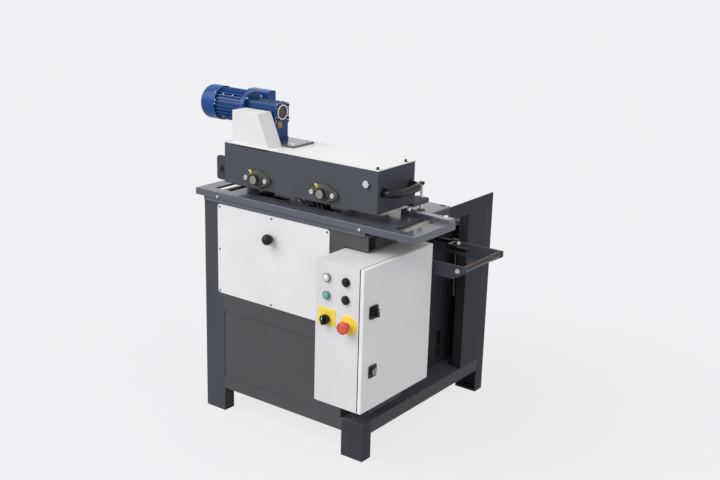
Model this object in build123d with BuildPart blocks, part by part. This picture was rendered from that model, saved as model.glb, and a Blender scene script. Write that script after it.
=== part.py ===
"""Multi-rip saw: a floor machine that rips boards into strips under a tilting feed head.

Millimetres. Origin on the floor, midway between the four anchor holes of the feet.
+X runs along the table towards the infeed end, +Y towards the back, +Z up.
"""
import os
from math import cos, radians, sin

from build123d import *

os.makedirs("parts", exist_ok=True)

# Clearances
RUN = 0.05  # radial play of a shaft in its bore
GAP = 0.3  # seat of a piece that rests on another but moves
PLAY = 1.0  # end play of a roller between its lugs

# Base frame
BASE_L = 752
BASE_D = 824
LEG_W = 94
LEG_D = 50
LEG_T = 5
FOOT_T = 8
ANCHOR_D = 14
FLOOR_Z = 140
FLOOR_T = 4
BOTTOM_RAIL_H = 45
TOP_RAIL_H = 52
RAIL_TOP = 829
RAIL_T = 4
SHEET_T = 3
LEFT = -BASE_L / 2
RIGHT = BASE_L / 2
FRONT = -BASE_D / 2
REAR = BASE_D / 2
PANEL_Z = FLOOR_Z + FLOOR_T
TOP_RAIL_Z = RAIL_TOP - TOP_RAIL_H

# Front of the cabinet
MID_DROP = 71
FASCIA_T = 4
FASCIA_RETURN = 30
LOWER_INSET = 2
COVER_INSET = 69
COVER_END = 59
COVER_DOWN = 5
COVER_H = 343
COVER_T = 4
COVER_R = 12
COVER_LAP = 22
KNOB_D = 40
KNOB_NECK_D = 16
KNOB_NECK_L = 5
KNOB_DOWN = 82
KNOB_SINK = 3

# Walls behind and beside
SIDE_INSET = 4
REAR_INSET = 8
REAR_DROP = 130
VENT_L = 90
VENT_H = 9
VENT_PITCH = 22
VENT_COUNT = 9
VENT_Z = 300
SPIGOT_D = 120
SPIGOT_T = 2.5
SPIGOT_L = 60
SPIGOT_Z = 330
BAY_W = 102
INNER_T = 5
COLUMN_W = 177
COLUMN_T = 4
COLUMN_RETURN = 40
WIRE_SLOT_Y = 632
WIRE_SLOT_W = 36
WIRE_SLOT_Z = 174
WIRE_SLOT_H = 112

# Deck and table
DECK_T = 6
DECK_D = 509
BEARER_W = 30
BEARER_X = 240
BEARER_EDGE = 2
TABLE_RISE = 35
TABLE_T = 8
TABLE_ROUND = 2
TABLE_W = 240
OVER_LEFT = 33
OVER_RIGHT = 195
OVER_FRONT = 12
LIP_H = 25
LIP_T = 6
SAW_GATE_L = 385
SAW_GATE_W = 114
SAW_GATE_EDGE = 70
DECK_GATE_W = 135
IDLER_AXLE_D = 10
IDLER_LUG_T = 8
IDLER_LUG_W = 26
IDLER_LUG_EDGE = 6
OUT_IDLER_D = 28
OUT_IDLER_END = 100
OUT_IDLER_L = 108
OUT_IDLER_SLOT = 82
OUT_IDLER_EDGE = 42
IN_IDLER_D = 40
IN_IDLER_END = 85
IN_IDLER_L = 164
IN_IDLER_SLOT = 58
IN_IDLER_EDGE = 37

# Fence
FENCE_L = 200
FENCE_W = 32
FENCE_H = 14
FENCE_EDGE = 2
FENCE_TRAVEL = 8
FENCE_BOLT_D = 8
FENCE_NUT_D = 14
FENCE_NUT_H = 7
FENCE_BOLT_END = 24
FENCE_BOLT_BACK = 20
FENCE_SLOT_GAP = 0.5
FENCE_END_GAP = 2

# Feed head
HEAD_X = 85
HEAD_Y = 20
HEAD_OVER = 17
HEAD_W = 216
HEAD_H = 148
HEAD_T = 8
HEAD_GAP = 34
HEAD_COVER_T = 3
HEAD_COVER_LAP = 2
PIVOT_BACK = 28
PIVOT_UP = 46
PIVOT_D = 20
PIN_TAIL = 4
EAR_T = 8
EAR_W = 49
EAR_H = 89
EAR_Y = 10
EAR_LOW = 3
EAR_R = 12
HINGE_BLOCK_W = 40
HINGE_BLOCK_D = 24
HINGE_BLOCK_Y = 172
HINGE_FLANGE_L = 84
HINGE_FLANGE_T = 12
HANDLE_D = 28
HANDLE_REACH = 44
HANDLE_EDGE = 34
HANDLE_SPAN = 160
HANDLE_UP = 70
HANDLE_FOOT_D = 36
HANDLE_FOOT_T = 6
HANDLE_BEND = 30

# Feed rollers and their bearings
OUT_FEED_X = 164
FEED_PITCH = 301
FEED_UP = 39
FEED_SHAFT_D = 20
FEED_ROLLER_D = 120
FEED_ROLLER_L = 100
FEED_ROLLER_Y = 70
FEED_FLUTES = 20
FEED_FLUTE_W = 6
FEED_FLUTE_D = 3
BEARING_PITCH = 90
BEARING_EAR_R = 15
BEARING_BODY_D = 66
BEARING_FLANGE_T = 12
BEARING_NECK_D = 62
BEARING_BOSS_D = 48
BEARING_BOSS_L = 22
FEED_COLLAR_D = 40
FEED_COLLAR_L = 5
SHAFT_CAP_D = 30
SHAFT_CAP_L = 5
SHAFT_END = 3
SHAFT_HOLE_D = 30

# Chain drive
SPROCKET_D = 50
SPROCKET_T = 6
SPROCKET_TEETH = 14
SPROCKET_NOTCH = 3.5
CHAIN_W = 5
CHAIN_T = 6
CHAIN_ROOM = 10
DRIVE_CHAIN_Y = 20
LINK_CHAIN_Y = 40

# Worm gear motor
GEAR_PLATE_T = 8
GEAR_PLATE_L = 236
GEAR_PLATE_D = 116
GEAR_PLATE_X = 25
GEAR_PLATE_Y = 74
GEAR_EDGE = 3
GEAR_W = 86
GEAR_AXIS_UP = 54
WORM_RISE = 50
GEAR_X = 103
GEAR_REACH_IN = 65
GEAR_REACH_MOTOR = 80
GEAR_FOOT_L = 120
GEAR_FOOT_T = 12
GEAR_STEP = 5
GEAR_CASE_L = 96
GEAR_CASE_R = 7
GEAR_RIBS = 5
GEAR_RIB_T = 4
GEAR_RIB_H = 2
GEAR_RIB_PITCH = 22
WORM_CAP_D = 54
WORM_CAP_T = 4
WORM_CAP_BORE = 46
GEAR_SHAFT_D = 25
WORM_CASE_H = 64
WHEEL_D = 104
MOTOR_FLANGE_D = 118
MOTOR_FLANGE_T = 10
MOTOR_D = 120
MOTOR_FIN_H = 8
MOTOR_L = 126
MOTOR_FINS = 28
MOTOR_FIN_T = 3.2
FIN_ROOT = 2
COWL_SEAT = 1
COWL_L = 76
COWL_T = 2
COWL_LAP = 5
COWL_ROUND = 18
COWL_SLOTS = 10
COWL_SLOT_R = 28
COWL_SLOT_L = 22
COWL_SLOT_W = 5
TERMINAL_L = 100
TERMINAL_H = 82
TERMINAL_D = 46
TERMINAL_R = 8
TERMINAL_GAP = 1
TERMINAL_OVER = 33
TERMINAL_UP = 53
TERMINAL_NECK = 50

# Chain guard
GUARD_X = 35
GUARD_L = 172
GUARD_TOP_L = 120
GUARD_H = 118
GUARD_T = 2
GUARD_Y = 4

# Anti-kickback fingers and height stop
FINGER_X = 44
FINGER_UP = 99
FINGER_ROD_D = 16
FINGER_COUNT = 11
FINGER_T = 8
FINGER_PITCH = 9.2
FINGER_EYE_D = 30
FINGER_TIP_GAP = 10
FINGER_TRAIL = 30
FINGER_TIE_D = 6
FINGER_TIP_L = 14
FINGER_TIP_H = 6
FINGER_HEAD_D = 26
FINGER_HEAD_T = 9
STOP_D = 10
STOP_X = 22
STOP_BACK = 82
STOP_LUG_T = 16
STOP_LUG_W = 52
STOP_LUG_H = 60
STOP_LUG_END = 16
STOP_PLATE_T = 8
STOP_HEAD_D = 19
STOP_HEAD_H = 9
STOP_TOP_UP = 58
STOP_PAD_D = 30
STOP_PAD_H = 26

# Swinging saw frame
SWING_X = 70
SWING_DOWN = 195
SWING_SHAFT_D = 30
SWING_EYE_D = 64
ARM_T = 10
ARM_H = 50
ARM_FRONT_Y = 276
ARM_SPAN = 264
ARM_OUT = 215
ARM_CHAMFER_L = 48
ARM_CHAMFER_H = 28
LIFT_BAR_D = 22
LIFT_BAR_IN = 12
LIFT_BAR_DOWN = 11
PIVOT_BEAM_W = 50
PIVOT_BEAM_H = 50
PILLOW_D = 28
PILLOW_R = 25
PILLOW_SIDE = 2
PILLOW_UP = 40
ARM_SLOT_GAP = 5
SWING_DEG = 5
LOCK_PLATE_T = 8
LOCK_PLATE_UP = 65
LOCK_PLATE_DOWN = 50
LOCK_PLATE_GAP = 8

# Saw arbor and its drive
ARBOR_IN = 387
ARBOR_DOWN = 128
ARBOR_D = 35
BLADE_D = 280
BLADE_T = 2.4
BLADE_COUNT = 5
BLADE_PITCH = 22
BLADE_TEETH = 24
TOOTH_H = 9
LAST_BLADE_Y = 164
COLLAR_D = 84
COLLAR_T = 7
SPACER_D = 60
ARBOR_NUT_D = 56
ARBOR_NUT_T = 12
ARBOR_TAIL = 2
CARTRIDGE_D = 80
CARTRIDGE_FRONT = 186
CARTRIDGE_REAR = 546
CHEEK_R = 52
CHEEK_W = 150
ARBOR_PULLEY_D = 96
MOTOR_PULLEY_D = 144
PULLEY_W = 52
PULLEY_GAP = 3
PULLEY_LIP = 1.5
BELT_COUNT = 3
BELT_PITCH = 16
BELT_W = 11
BELT_T = 8
SAW_MOTOR_X = 350
SAW_MOTOR_Y = 235
SAW_MOTOR_CLEAR = 4
SAW_MOTOR_D = 216
SAW_MOTOR_L = 262
SAW_MOTOR_FINS = 24
SAW_MOTOR_FIN_T = 5
SAW_MOTOR_FIN_H = 14
SAW_MOTOR_SHAFT_D = 28
SAW_MOTOR_SEAT = 30
SAW_MOTOR_FOOT_W = 190
SAW_MOTOR_FOOT_T = 14
MOTOR_PLATE_T = 12
MOTOR_PLATE_L = 210
MOTOR_PLATE_DOWN = 127

# Lock crank
CRANK_Y = 505
CRANK_UP = 28
CRANK_SHAFT_D = 16
CRANK_HUB_D = 30
CRANK_HUB_L = 22
CRANK_NECK = 74
CRANK_R = 55
CRANK_ARM_T = 10
CRANK_ARM_W = 20
CRANK_GRIP_D = 20
CRANK_GRIP_L = 76
CRANK_TIP_GAP = 4
CRANK_ROUND = 4
CRANK_BOSS_D = 34
CRANK_BOSS_L = 45
LEVER_D = 7
LEVER_L = 205
LEVER_END_D = 12
LEVER_END_L = 8

# Control enclosure
BOX_W = 400
BOX_H = 501
BOX_D = 178
BOX_T = 2
BOX_ARM_GAP = 29
BOX_DOWN = 5
DOOR_T = 14
DOOR_SKIN = 2
DOOR_ROUND = 3
DOOR_GAP = 4
DOOR_SIDE = 0.5
HINGE_INSET = 11
HINGE_BEHIND = 5.5
HINGE_PIN_D = 6
HINGE_BARREL_D = 10
HINGE_BARREL_L = 40
HINGE_LEAF_T = 3
HINGE_LEAF_L = 30
HINGE_IN = 80
DIN_PLATE_T = 3
DIN_PLATE_EDGE = 40
DIN_PLATE_STAND = 12
CONTACTOR_W = 45
CONTACTOR_H = 80
CONTACTOR_D = 70
CONTACTOR_COUNT = 5
CONTACTOR_PITCH = 56
CONTACTOR_ROWS = 2
CONTACTOR_SHIFT = 40
DIN_POST_D = 12
CONTACTOR_ROW_PITCH = 190
BUTTON_HOLE_D = 22.4
BEZEL_D = 30
BEZEL_T = 6
BARREL_D = 22
BARREL_L = 20
PLUNGER_D = 22
PLUNGER_T = 5
STEM_D = 14
STEM_L = 22
STEM_POCKET = 10
BUTTON_TRAVEL = 4
CONTACT_W = 30
CONTACT_H = 40
CONTACT_D = 30
BUTTON_X = 47
BUTTON_PITCH_X = 78
WHITE_DOWN = 54
GREEN_DOWN = 115
SELECTOR_DOWN = 198
ESTOP_X = 137.5
ESTOP_DOWN = 200
LEGEND_W = 74
LEGEND_H = 58
LEGEND_UP = 8
LEGEND_T = 1.5
LEGEND_R = 4
ESTOP_DISC_D = 66
ESTOP_DISC_T = 3
ESTOP_HEAD_D = 42
ESTOP_HEAD_T = 16
ESTOP_TRAVEL = 6
ESTOP_RISE = 10
ESTOP_ROUND = 6
SELECTOR_D = 34
SELECTOR_T = 9
SELECTOR_GRIP_L = 30
SELECTOR_GRIP_W = 9
SELECTOR_GRIP_H = 10
SWITCH_IN = 54
SWITCH_DOWN = 153
SWITCH_PLATE = 44
SWITCH_PLATE_T = 6
SWITCH_PLATE_R = 6
SWITCH_SHAFT_D = 12
SWITCH_KNOB_D = 34
SWITCH_KNOB_T = 8
SWITCH_GRIP_L = 30
SWITCH_GRIP_W = 11
SWITCH_GRIP_T = 9
LATCH_PLATE = 42
LATCH_PLATE_T = 4
LATCH_PLATE_R = 4
LOCK_IN = 58
LOCK_UP = 139
LOCK_D = 24
LOCK_T = 8
LOCK_SHANK_D = 18
LOCK_BAR_L = 44
LOCK_BAR_W = 16
LOCK_BAR_T = 4
LOCK_SLOT = 3
GLAND_D = 28
GLAND_L = 22
GLAND_BACK = 40
GLAND_STEP = 50
GLAND_FIRST = 44
GLAND_PITCH = 110
DUCT_IN = 75
DUCT_L = 190
DUCT_W = 56
DUCT_H = 30
DUCT_EDGE = 2
CABLE_D = 16
CABLE_DROP = 27
CABLE_BEND = 26
CABLE_RUN = 184

# Places worked out from the sizes above
INNER_X = RIGHT - BAY_W
COVER_LEFT = LEFT + COVER_INSET
COVER_L = INNER_X - COVER_END - COVER_LEFT
COVER_Z = RAIL_TOP - COVER_DOWN - COVER_H
MID_Z = COVER_Z - MID_DROP
KNOB_Z = COVER_Z + COVER_H - KNOB_DOWN
REAR_TOP = RAIL_TOP - REAR_DROP
DECK_BACK = FRONT + DECK_D
DECK_Z = RAIL_TOP + DECK_T
TABLE_Z = DECK_Z + TABLE_RISE
TABLE_LEFT = LEFT - OVER_LEFT
TABLE_RIGHT = RIGHT + OVER_RIGHT
TABLE_FRONT = FRONT - OVER_FRONT
TABLE_BACK = TABLE_FRONT + TABLE_W
TABLE_UNDER = TABLE_Z - TABLE_T
HEAD_LEFT = LEFT + HEAD_X
HEAD_RIGHT = RIGHT + HEAD_OVER
HEAD_FRONT = FRONT + HEAD_Y
HEAD_BACK = HEAD_FRONT + HEAD_W
HEAD_Z = TABLE_Z + HEAD_GAP
HEAD_TOP = HEAD_Z + HEAD_H
COVER_TOP = HEAD_TOP + HEAD_COVER_T
PIVOT_X = HEAD_LEFT - PIVOT_BACK
PIVOT_Z = HEAD_Z + PIVOT_UP
FEED_OUT = HEAD_LEFT + OUT_FEED_X
FEED_IN = FEED_OUT + FEED_PITCH
FEED_Z = HEAD_Z + FEED_UP
FINGER_ROD_X = HEAD_RIGHT - FINGER_X
FINGER_ROD_Z = HEAD_Z + FINGER_UP
FINGER_REACH = FINGER_ROD_Z - TABLE_Z - FINGER_TIP_GAP
GEAR_BASE = COVER_TOP + GEAR_PLATE_T
GEAR_AXIS_X = HEAD_LEFT + GEAR_X
GEAR_AXIS_Z = GEAR_BASE + GEAR_AXIS_UP
WORM_Z = GEAR_AXIS_Z + WORM_RISE
GEAR_PLATE_FRONT = HEAD_FRONT + GEAR_PLATE_Y
GEAR_FRONT = GEAR_PLATE_FRONT + GEAR_EDGE
GEAR_BACK = GEAR_FRONT + GEAR_W
GEAR_Y = (GEAR_FRONT + GEAR_BACK) / 2
GEAR_LEFT = GEAR_AXIS_X - GEAR_REACH_MOTOR
GEAR_RIGHT = GEAR_AXIS_X + GEAR_REACH_IN
MOTOR_RIGHT = GEAR_LEFT - MOTOR_FLANGE_T
MOTOR_LEFT = MOTOR_RIGHT - MOTOR_L
MOTOR_CORE_D = MOTOR_D - 2 * MOTOR_FIN_H
COWL_D = MOTOR_D + 2 * (COWL_SEAT + COWL_T)
STOP_SCREW_X = HEAD_RIGHT - STOP_X
STOP_SCREW_Y = HEAD_BACK + STOP_BACK
SWING_AXIS_X = LEFT + SWING_X
SWING_Z = TABLE_Z - SWING_DOWN
ARBOR_X = LEFT + ARBOR_IN
ARBOR_Z = TABLE_Z - ARBOR_DOWN
ARM_F0 = FRONT + ARM_FRONT_Y
ARM_F1 = ARM_F0 + ARM_T
ARM_R1 = ARM_F0 + ARM_SPAN
ARM_R0 = ARM_R1 - ARM_T
ARM_TOP = SWING_Z + ARM_H / 2
ARM_LOW = SWING_Z - ARM_H / 2
ARM_TIP = RIGHT + ARM_OUT
LIFT_BAR_X = ARM_TIP - LIFT_BAR_IN
LIFT_BAR_Z = ARM_TOP - LIFT_BAR_DOWN
SAW_MOTOR_AXIS_X = LEFT + SAW_MOTOR_X
MOTOR_PLATE_Z = SWING_Z - MOTOR_PLATE_DOWN
SAW_MOTOR_Z = MOTOR_PLATE_Z - SAW_MOTOR_CLEAR - SAW_MOTOR_D / 2
PULLEY_Y = FRONT + CARTRIDGE_REAR + PULLEY_GAP
BOX_X = INNER_X + INNER_T
BOX_TOP = TOP_RAIL_Z - BOX_DOWN
BOX_Z = BOX_TOP - BOX_H
BOX_BACK = ARM_F0 - BOX_ARM_GAP
BOX_Y = BOX_BACK - BOX_W
BOX_MOUTH = BOX_X + BOX_D
DOOR_FACE = BOX_MOUTH + DOOR_GAP + DOOR_T
HINGE_X = DOOR_FACE - HINGE_INSET
HINGE_Y = BOX_BACK + HINGE_BEHIND


def front_plane(y):
    """Upright plane at depth y whose sketch runs along X and Z; a negative extrusion goes to the back."""
    return Plane.XZ.offset(-y)


def side_plane(x):
    """Upright plane at x whose sketch runs along Y and Z; an extrusion goes to the right."""
    return Plane.YZ.offset(x)


def slab(x, y, z, mode=Mode.ADD):
    """Adds the block between low and high limits given for each axis to the part being built."""
    with Locations(((x[0] + x[1]) / 2, (y[0] + y[1]) / 2, (z[0] + z[1]) / 2)):
        Box(x[1] - x[0], y[1] - y[0], z[1] - z[0], mode=mode)


def panel(x, z):
    """Adds the rectangle between two limits along X and two along Z to the sketch being drawn."""
    with Locations(((x[0] + x[1]) / 2, (z[0] + z[1]) / 2)):
        Rectangle(x[1] - x[0], z[1] - z[0])


def rod(along, spot, span, diameter, mode=Mode.ADD):
    """Adds a round bar along the axis named; spot is its place on the other two axes."""
    middle = (span[0] + span[1]) / 2
    if along == "x":
        place, turn = (middle, spot[0], spot[1]), (0, 90, 0)
    elif along == "y":
        place, turn = (spot[0], middle, spot[1]), (90, 0, 0)
    else:
        place, turn = (spot[0], spot[1], middle), (0, 0, 0)
    with Locations(place):
        Cylinder(diameter / 2, span[1] - span[0], rotation=turn, mode=mode)


def tube(x, y, z, along):
    """Adds a hollow rectangular rail that runs along the axis named."""
    limits = {"x": x, "y": y, "z": z}
    inner = {
        axis: span if axis == along else (span[0] + RAIL_T, span[1] - RAIL_T)
        for axis, span in limits.items()
    }
    slab(x, y, z)
    slab(inner["x"], inner["y"], inner["z"], mode=Mode.SUBTRACT)


def loop_band(y, wheels, thick, width):
    """Adds a closed belt or chain from depth y round two wheels given as centre and diameter."""
    for grow, mode in ((thick, Mode.ADD), (0, Mode.SUBTRACT)):
        with BuildSketch(front_plane(y)) as outline:
            for spot, diameter in wheels:
                with Locations(spot):
                    Circle(diameter / 2 + GAP + grow)
            make_hull()
        extrude(outline.sketch, amount=-width, mode=mode)


def sprocket(x, z, y):
    """Adds a toothed wheel about an axis along Y, its front face at depth y."""
    with BuildSketch(front_plane(y)) as wheel:
        with Locations((x, z)):
            Circle(SPROCKET_D / 2)
            with PolarLocations(SPROCKET_D / 2, SPROCKET_TEETH):
                RegularPolygon(SPROCKET_NOTCH, 4, mode=Mode.SUBTRACT)
    extrude(wheel.sketch, amount=-SPROCKET_T)


def feed_roller(x, chain_places):
    """Adds a fluted feed roller on its shaft with end collars, and a sprocket at each depth given."""
    inner = BEARING_BOSS_L + GAP
    outer = inner + FEED_COLLAR_L
    tip = outer + SHAFT_CAP_L
    rod("y", (x, FEED_Z), (HEAD_FRONT - tip, HEAD_BACK + tip), FEED_SHAFT_D)
    for near, far, diameter in ((inner, outer, FEED_COLLAR_D), (outer, tip, SHAFT_CAP_D)):
        rod("y", (x, FEED_Z), (HEAD_FRONT - far, HEAD_FRONT - near), diameter)
        rod("y", (x, FEED_Z), (HEAD_BACK + near, HEAD_BACK + far), diameter)
    with BuildSketch(front_plane(HEAD_FRONT + FEED_ROLLER_Y)) as drum:
        with Locations((x, FEED_Z)):
            Circle(FEED_ROLLER_D / 2)
            with PolarLocations(FEED_ROLLER_D / 2, FEED_FLUTES):
                Rectangle(2 * FEED_FLUTE_D, FEED_FLUTE_W, mode=Mode.SUBTRACT)
    extrude(drum.sketch, amount=-FEED_ROLLER_L)
    for place in chain_places:
        sprocket(x, FEED_Z, HEAD_FRONT + place)


def table_roller(x, y, length, diameter):
    """Adds a plain table roller on its axle, flush with the table top."""
    axis_z = TABLE_Z - diameter / 2
    rod("y", (x, axis_z), (y, y + length), diameter)
    rod("y", (x, axis_z), (y - PLAY - IDLER_LUG_T, y + length + PLAY + IDLER_LUG_T), IDLER_AXLE_D)


def grooved_pulley(x, z, diameter, y):
    """Adds a belt pulley about an axis along Y, with one groove for each belt."""
    rod("y", (x, z), (y, y + PULLEY_W), diameter)
    for index in range(BELT_COUNT):
        start = y + belt_place(index) - GAP
        span = (start, start + BELT_W + 2 * GAP)
        with BuildSketch(front_plane(span[0])) as ring:
            with Locations((x, z)):
                Circle(diameter / 2 + PULLEY_LIP)
                Circle(groove_d(diameter) / 2, mode=Mode.SUBTRACT)
        extrude(ring.sketch, amount=span[0] - span[1], mode=Mode.SUBTRACT)


def belt_place(index):
    """Distance of a belt's front face from the front of the pulley."""
    return PULLEY_W / 2 + (index - (BELT_COUNT - 1) / 2) * BELT_PITCH - BELT_W / 2


def groove_d(diameter):
    """Diameter at the bottom of the grooves of a pulley."""
    return diameter - 2 * (BELT_T + PULLEY_LIP)


def button_socket(x, z, seat_y):
    """Adds the ring, barrel and contact block of one push button seated at depth seat_y."""
    inside = BOX_Y + BOX_T + BARREL_L
    rod("y", (x, z), (seat_y - BEZEL_T, seat_y), BEZEL_D)
    rod("y", (x, z), (seat_y, inside), BARREL_D)
    slab(
        (x - CONTACT_W / 2, x + CONTACT_W / 2),
        (inside, inside + CONTACT_D),
        (z - CONTACT_H / 2, z + CONTACT_H / 2),
    )
    rod("y", (x, z), (seat_y - BEZEL_T, seat_y), PLUNGER_D + 2 * GAP, mode=Mode.SUBTRACT)
    rod("y", (x, z), (seat_y, inside + STEM_POCKET), STEM_D + 2 * RUN, mode=Mode.SUBTRACT)


def push_button(x, z):
    """Adds the moving part of one push button, standing proud by its travel."""
    back = BOX_Y - BUTTON_TRAVEL - GAP
    rod("y", (x, z), (back - PLUNGER_T, back), PLUNGER_D)
    rod("y", (x, z), (back, back + STEM_L), STEM_D)


# Places worked out from the sizes above, for the smaller parts
IDLERS = (
    (TABLE_LEFT + OUT_IDLER_END, TABLE_FRONT + OUT_IDLER_EDGE, OUT_IDLER_L, OUT_IDLER_D, OUT_IDLER_SLOT),
    (TABLE_RIGHT - IN_IDLER_END, TABLE_FRONT + IN_IDLER_EDGE, IN_IDLER_L, IN_IDLER_D, IN_IDLER_SLOT),
)
FENCE_X = (TABLE_RIGHT - FENCE_END_GAP - FENCE_L, TABLE_RIGHT - FENCE_END_GAP)
FENCE_TOP = TABLE_Z + GAP + FENCE_H
FENCE_BOLT_Y = TABLE_BACK - FENCE_BOLT_BACK
FENCE_BOLTS = (FENCE_X[0] + FENCE_BOLT_END, FENCE_X[1] - FENCE_BOLT_END)
WHITE_SPOT = (BOX_X + BUTTON_X, BOX_TOP - WHITE_DOWN)
GREEN_SPOT = (BOX_X + BUTTON_X, BOX_TOP - GREEN_DOWN)
UPPER_SPOT = (WHITE_SPOT[0] + BUTTON_PITCH_X, WHITE_SPOT[1])
LOWER_SPOT = (GREEN_SPOT[0] + BUTTON_PITCH_X, GREEN_SPOT[1])
SELECTOR_SPOT = (BOX_X + BUTTON_X, BOX_TOP - SELECTOR_DOWN)
ESTOP_SPOT = (BOX_X + ESTOP_X, BOX_TOP - ESTOP_DOWN)
SOCKETS = (
    (WHITE_SPOT, BOX_Y),
    (GREEN_SPOT, BOX_Y),
    (UPPER_SPOT, BOX_Y),
    (LOWER_SPOT, BOX_Y),
    (SELECTOR_SPOT, BOX_Y - LEGEND_T),
    (ESTOP_SPOT, BOX_Y - ESTOP_DISC_T),
)
GLANDS = (
    (BOX_MOUTH - GLAND_BACK, BOX_Y + GLAND_FIRST),
    (BOX_MOUTH - GLAND_BACK - GLAND_STEP, BOX_Y + GLAND_FIRST + GLAND_PITCH),
)
CABLE_Z = BOX_Z - GLAND_L - CABLE_DROP
CABLE_EXITS = (GLANDS[0][1] + CABLE_RUN, GLANDS[1][1])
SWITCH_SPOT = (BOX_Y + SWITCH_IN, BOX_TOP - SWITCH_DOWN)
LOCK_SPOT = (BOX_Y + LOCK_IN, BOX_Z + LOCK_UP)
DOOR_BACK = BOX_MOUTH + DOOR_GAP
KNUCKLES = (BOX_Z + HINGE_IN, BOX_TOP - HINGE_IN - 2 * HINGE_BARREL_L - GAP)
BLADE_PLACES = [FRONT + LAST_BLADE_Y - index * BLADE_PITCH for index in range(BLADE_COUNT)]
STACK_BACK = BLADE_PLACES[0] + BLADE_T / 2
STACK_FRONT = BLADE_PLACES[-1] - BLADE_T / 2
MOTOR_PLATE_X = (SAW_MOTOR_AXIS_X - MOTOR_PLATE_L / 2, SAW_MOTOR_AXIS_X + MOTOR_PLATE_L / 2)
SAW_MOTOR_SPAN = (FRONT + SAW_MOTOR_Y, FRONT + SAW_MOTOR_Y + SAW_MOTOR_L)
LOCK_PLATE_X = INNER_X - LOCK_PLATE_GAP
CRANK_Z = SWING_Z + CRANK_UP
CRANK_SPOT = (FRONT + CRANK_Y, CRANK_Z)
HUB_X = BOX_X + CRANK_BOSS_L + CRANK_NECK
ARM_SLOT_TOP = ARM_TOP + (BOX_X - SWING_AXIS_X) * sin(radians(SWING_DEG)) + ARM_SLOT_GAP
FINGER_Y = HEAD_FRONT + FEED_ROLLER_Y + FEED_ROLLER_L / 2 - FINGER_COUNT * FINGER_PITCH / 2

# Legs: channels with anchor feet; one is a short foot under the control box, one ends below the rear opening
with BuildPart() as legs:
    for x_side, y_side, height in (
        (-1, -1, RAIL_TOP),
        (1, -1, FLOOR_Z),
        (-1, 1, RAIL_TOP),
        (1, 1, TOP_RAIL_Z),
    ):
        leg_x = x_side * (BASE_L - LEG_W) / 2
        leg_y = y_side * (BASE_D - LEG_D) / 2
        with BuildSketch(Plane.XY):
            with Locations((leg_x, leg_y)):
                Rectangle(LEG_W, LEG_D)
            with Locations((leg_x, leg_y - y_side * LEG_T / 2)):
                Rectangle(LEG_W - 2 * LEG_T, LEG_D - LEG_T, mode=Mode.SUBTRACT)
        extrude(amount=height)
        with BuildSketch(Plane.XY):
            with Locations((leg_x, leg_y)):
                Rectangle(LEG_W, LEG_D)
                Circle(ANCHOR_D / 2, mode=Mode.SUBTRACT)
        extrude(amount=FOOT_T)
legs.part.label = "legs"
export_step(legs.part, "parts/legs.step")

# Rails: rings between the legs, beam of the saw frame, table bearers and stop pad
with BuildPart() as frame_rails:
    low_ring = (FLOOR_Z - BOTTOM_RAIL_H, FLOOR_Z)
    top_ring = (TOP_RAIL_Z, RAIL_TOP)
    rear_ring = (REAR_TOP - TOP_RAIL_H, REAR_TOP)
    between_legs = (LEFT + LEG_W, RIGHT - LEG_W)
    along_depth = (FRONT + LEG_D, REAR - LEG_D)
    tube(between_legs, (FRONT, FRONT + LEG_D), low_ring, "x")
    tube((LEFT + LEG_W, RIGHT), (FRONT, FRONT + LEG_D), top_ring, "x")
    tube(between_legs, (REAR - LEG_D, REAR), low_ring, "x")
    tube((LEFT + LEG_W, INNER_X), (REAR - LEG_D, REAR), rear_ring, "x")
    tube((LEFT, LEFT + LEG_D), along_depth, low_ring, "y")
    tube((LEFT, LEFT + LEG_D), along_depth, top_ring, "y")
    tube((RIGHT - LEG_D, RIGHT), along_depth, low_ring, "y")
    tube((RIGHT - LEG_D, RIGHT), (FRONT + LEG_D, DECK_BACK), top_ring, "y")
    beam_top = SWING_Z - PILLOW_UP
    tube(
        (SWING_AXIS_X - PIVOT_BEAM_W / 2, SWING_AXIS_X + PIVOT_BEAM_W / 2),
        along_depth,
        (beam_top - PIVOT_BEAM_H, beam_top),
        "y",
    )
    for bearer_x in (-BEARER_X, BEARER_X):
        slab(
            (bearer_x - BEARER_W / 2, bearer_x + BEARER_W / 2),
            (FRONT + BEARER_EDGE, TABLE_BACK - LIP_T - BEARER_EDGE),
            (DECK_Z, TABLE_UNDER),
        )
    rod("z", (STOP_SCREW_X, STOP_SCREW_Y), (DECK_Z, DECK_Z + STOP_PAD_H), STOP_PAD_D)
frame_rails.part.label = "frame_rails"
export_step(frame_rails.part, "parts/frame_rails.step")

# Floor plate on the bottom rails, notched round the three long legs
with BuildPart() as floor_plate:
    with BuildSketch(Plane.XY.offset(FLOOR_Z)):
        Rectangle(BASE_L, BASE_D)
        for x_side, y_side in ((-1, -1), (-1, 1), (1, 1)):
            with Locations((x_side * (BASE_L - LEG_W) / 2, y_side * (BASE_D - LEG_D) / 2)):
                Rectangle(LEG_W, LEG_D, mode=Mode.SUBTRACT)
    extrude(amount=FLOOR_T)
floor_plate.part.label = "floor_plate"
export_step(floor_plate.part, "parts/floor_plate.step")

# Front fascia with the access window and a folded lower edge
with BuildPart() as front_fascia:
    with BuildSketch(front_plane(FRONT)):
        panel((LEFT + LEG_W, INNER_X), (MID_Z, TOP_RAIL_Z))
    extrude(amount=-FASCIA_T)
    with BuildSketch(front_plane(FRONT)):
        panel(
            (LEFT + LEG_W + COVER_LAP, COVER_LEFT + COVER_L - COVER_LAP),
            (COVER_Z + COVER_LAP, TOP_RAIL_Z - COVER_LAP),
        )
    extrude(amount=-FASCIA_T, mode=Mode.SUBTRACT)
    slab(
        (LEFT + LEG_W, INNER_X),
        (FRONT + FASCIA_T, FRONT + FASCIA_RETURN),
        (MID_Z, MID_Z + FASCIA_T),
    )
front_fascia.part.label = "front_fascia"
export_step(front_fascia.part, "parts/front_fascia.step")

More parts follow.
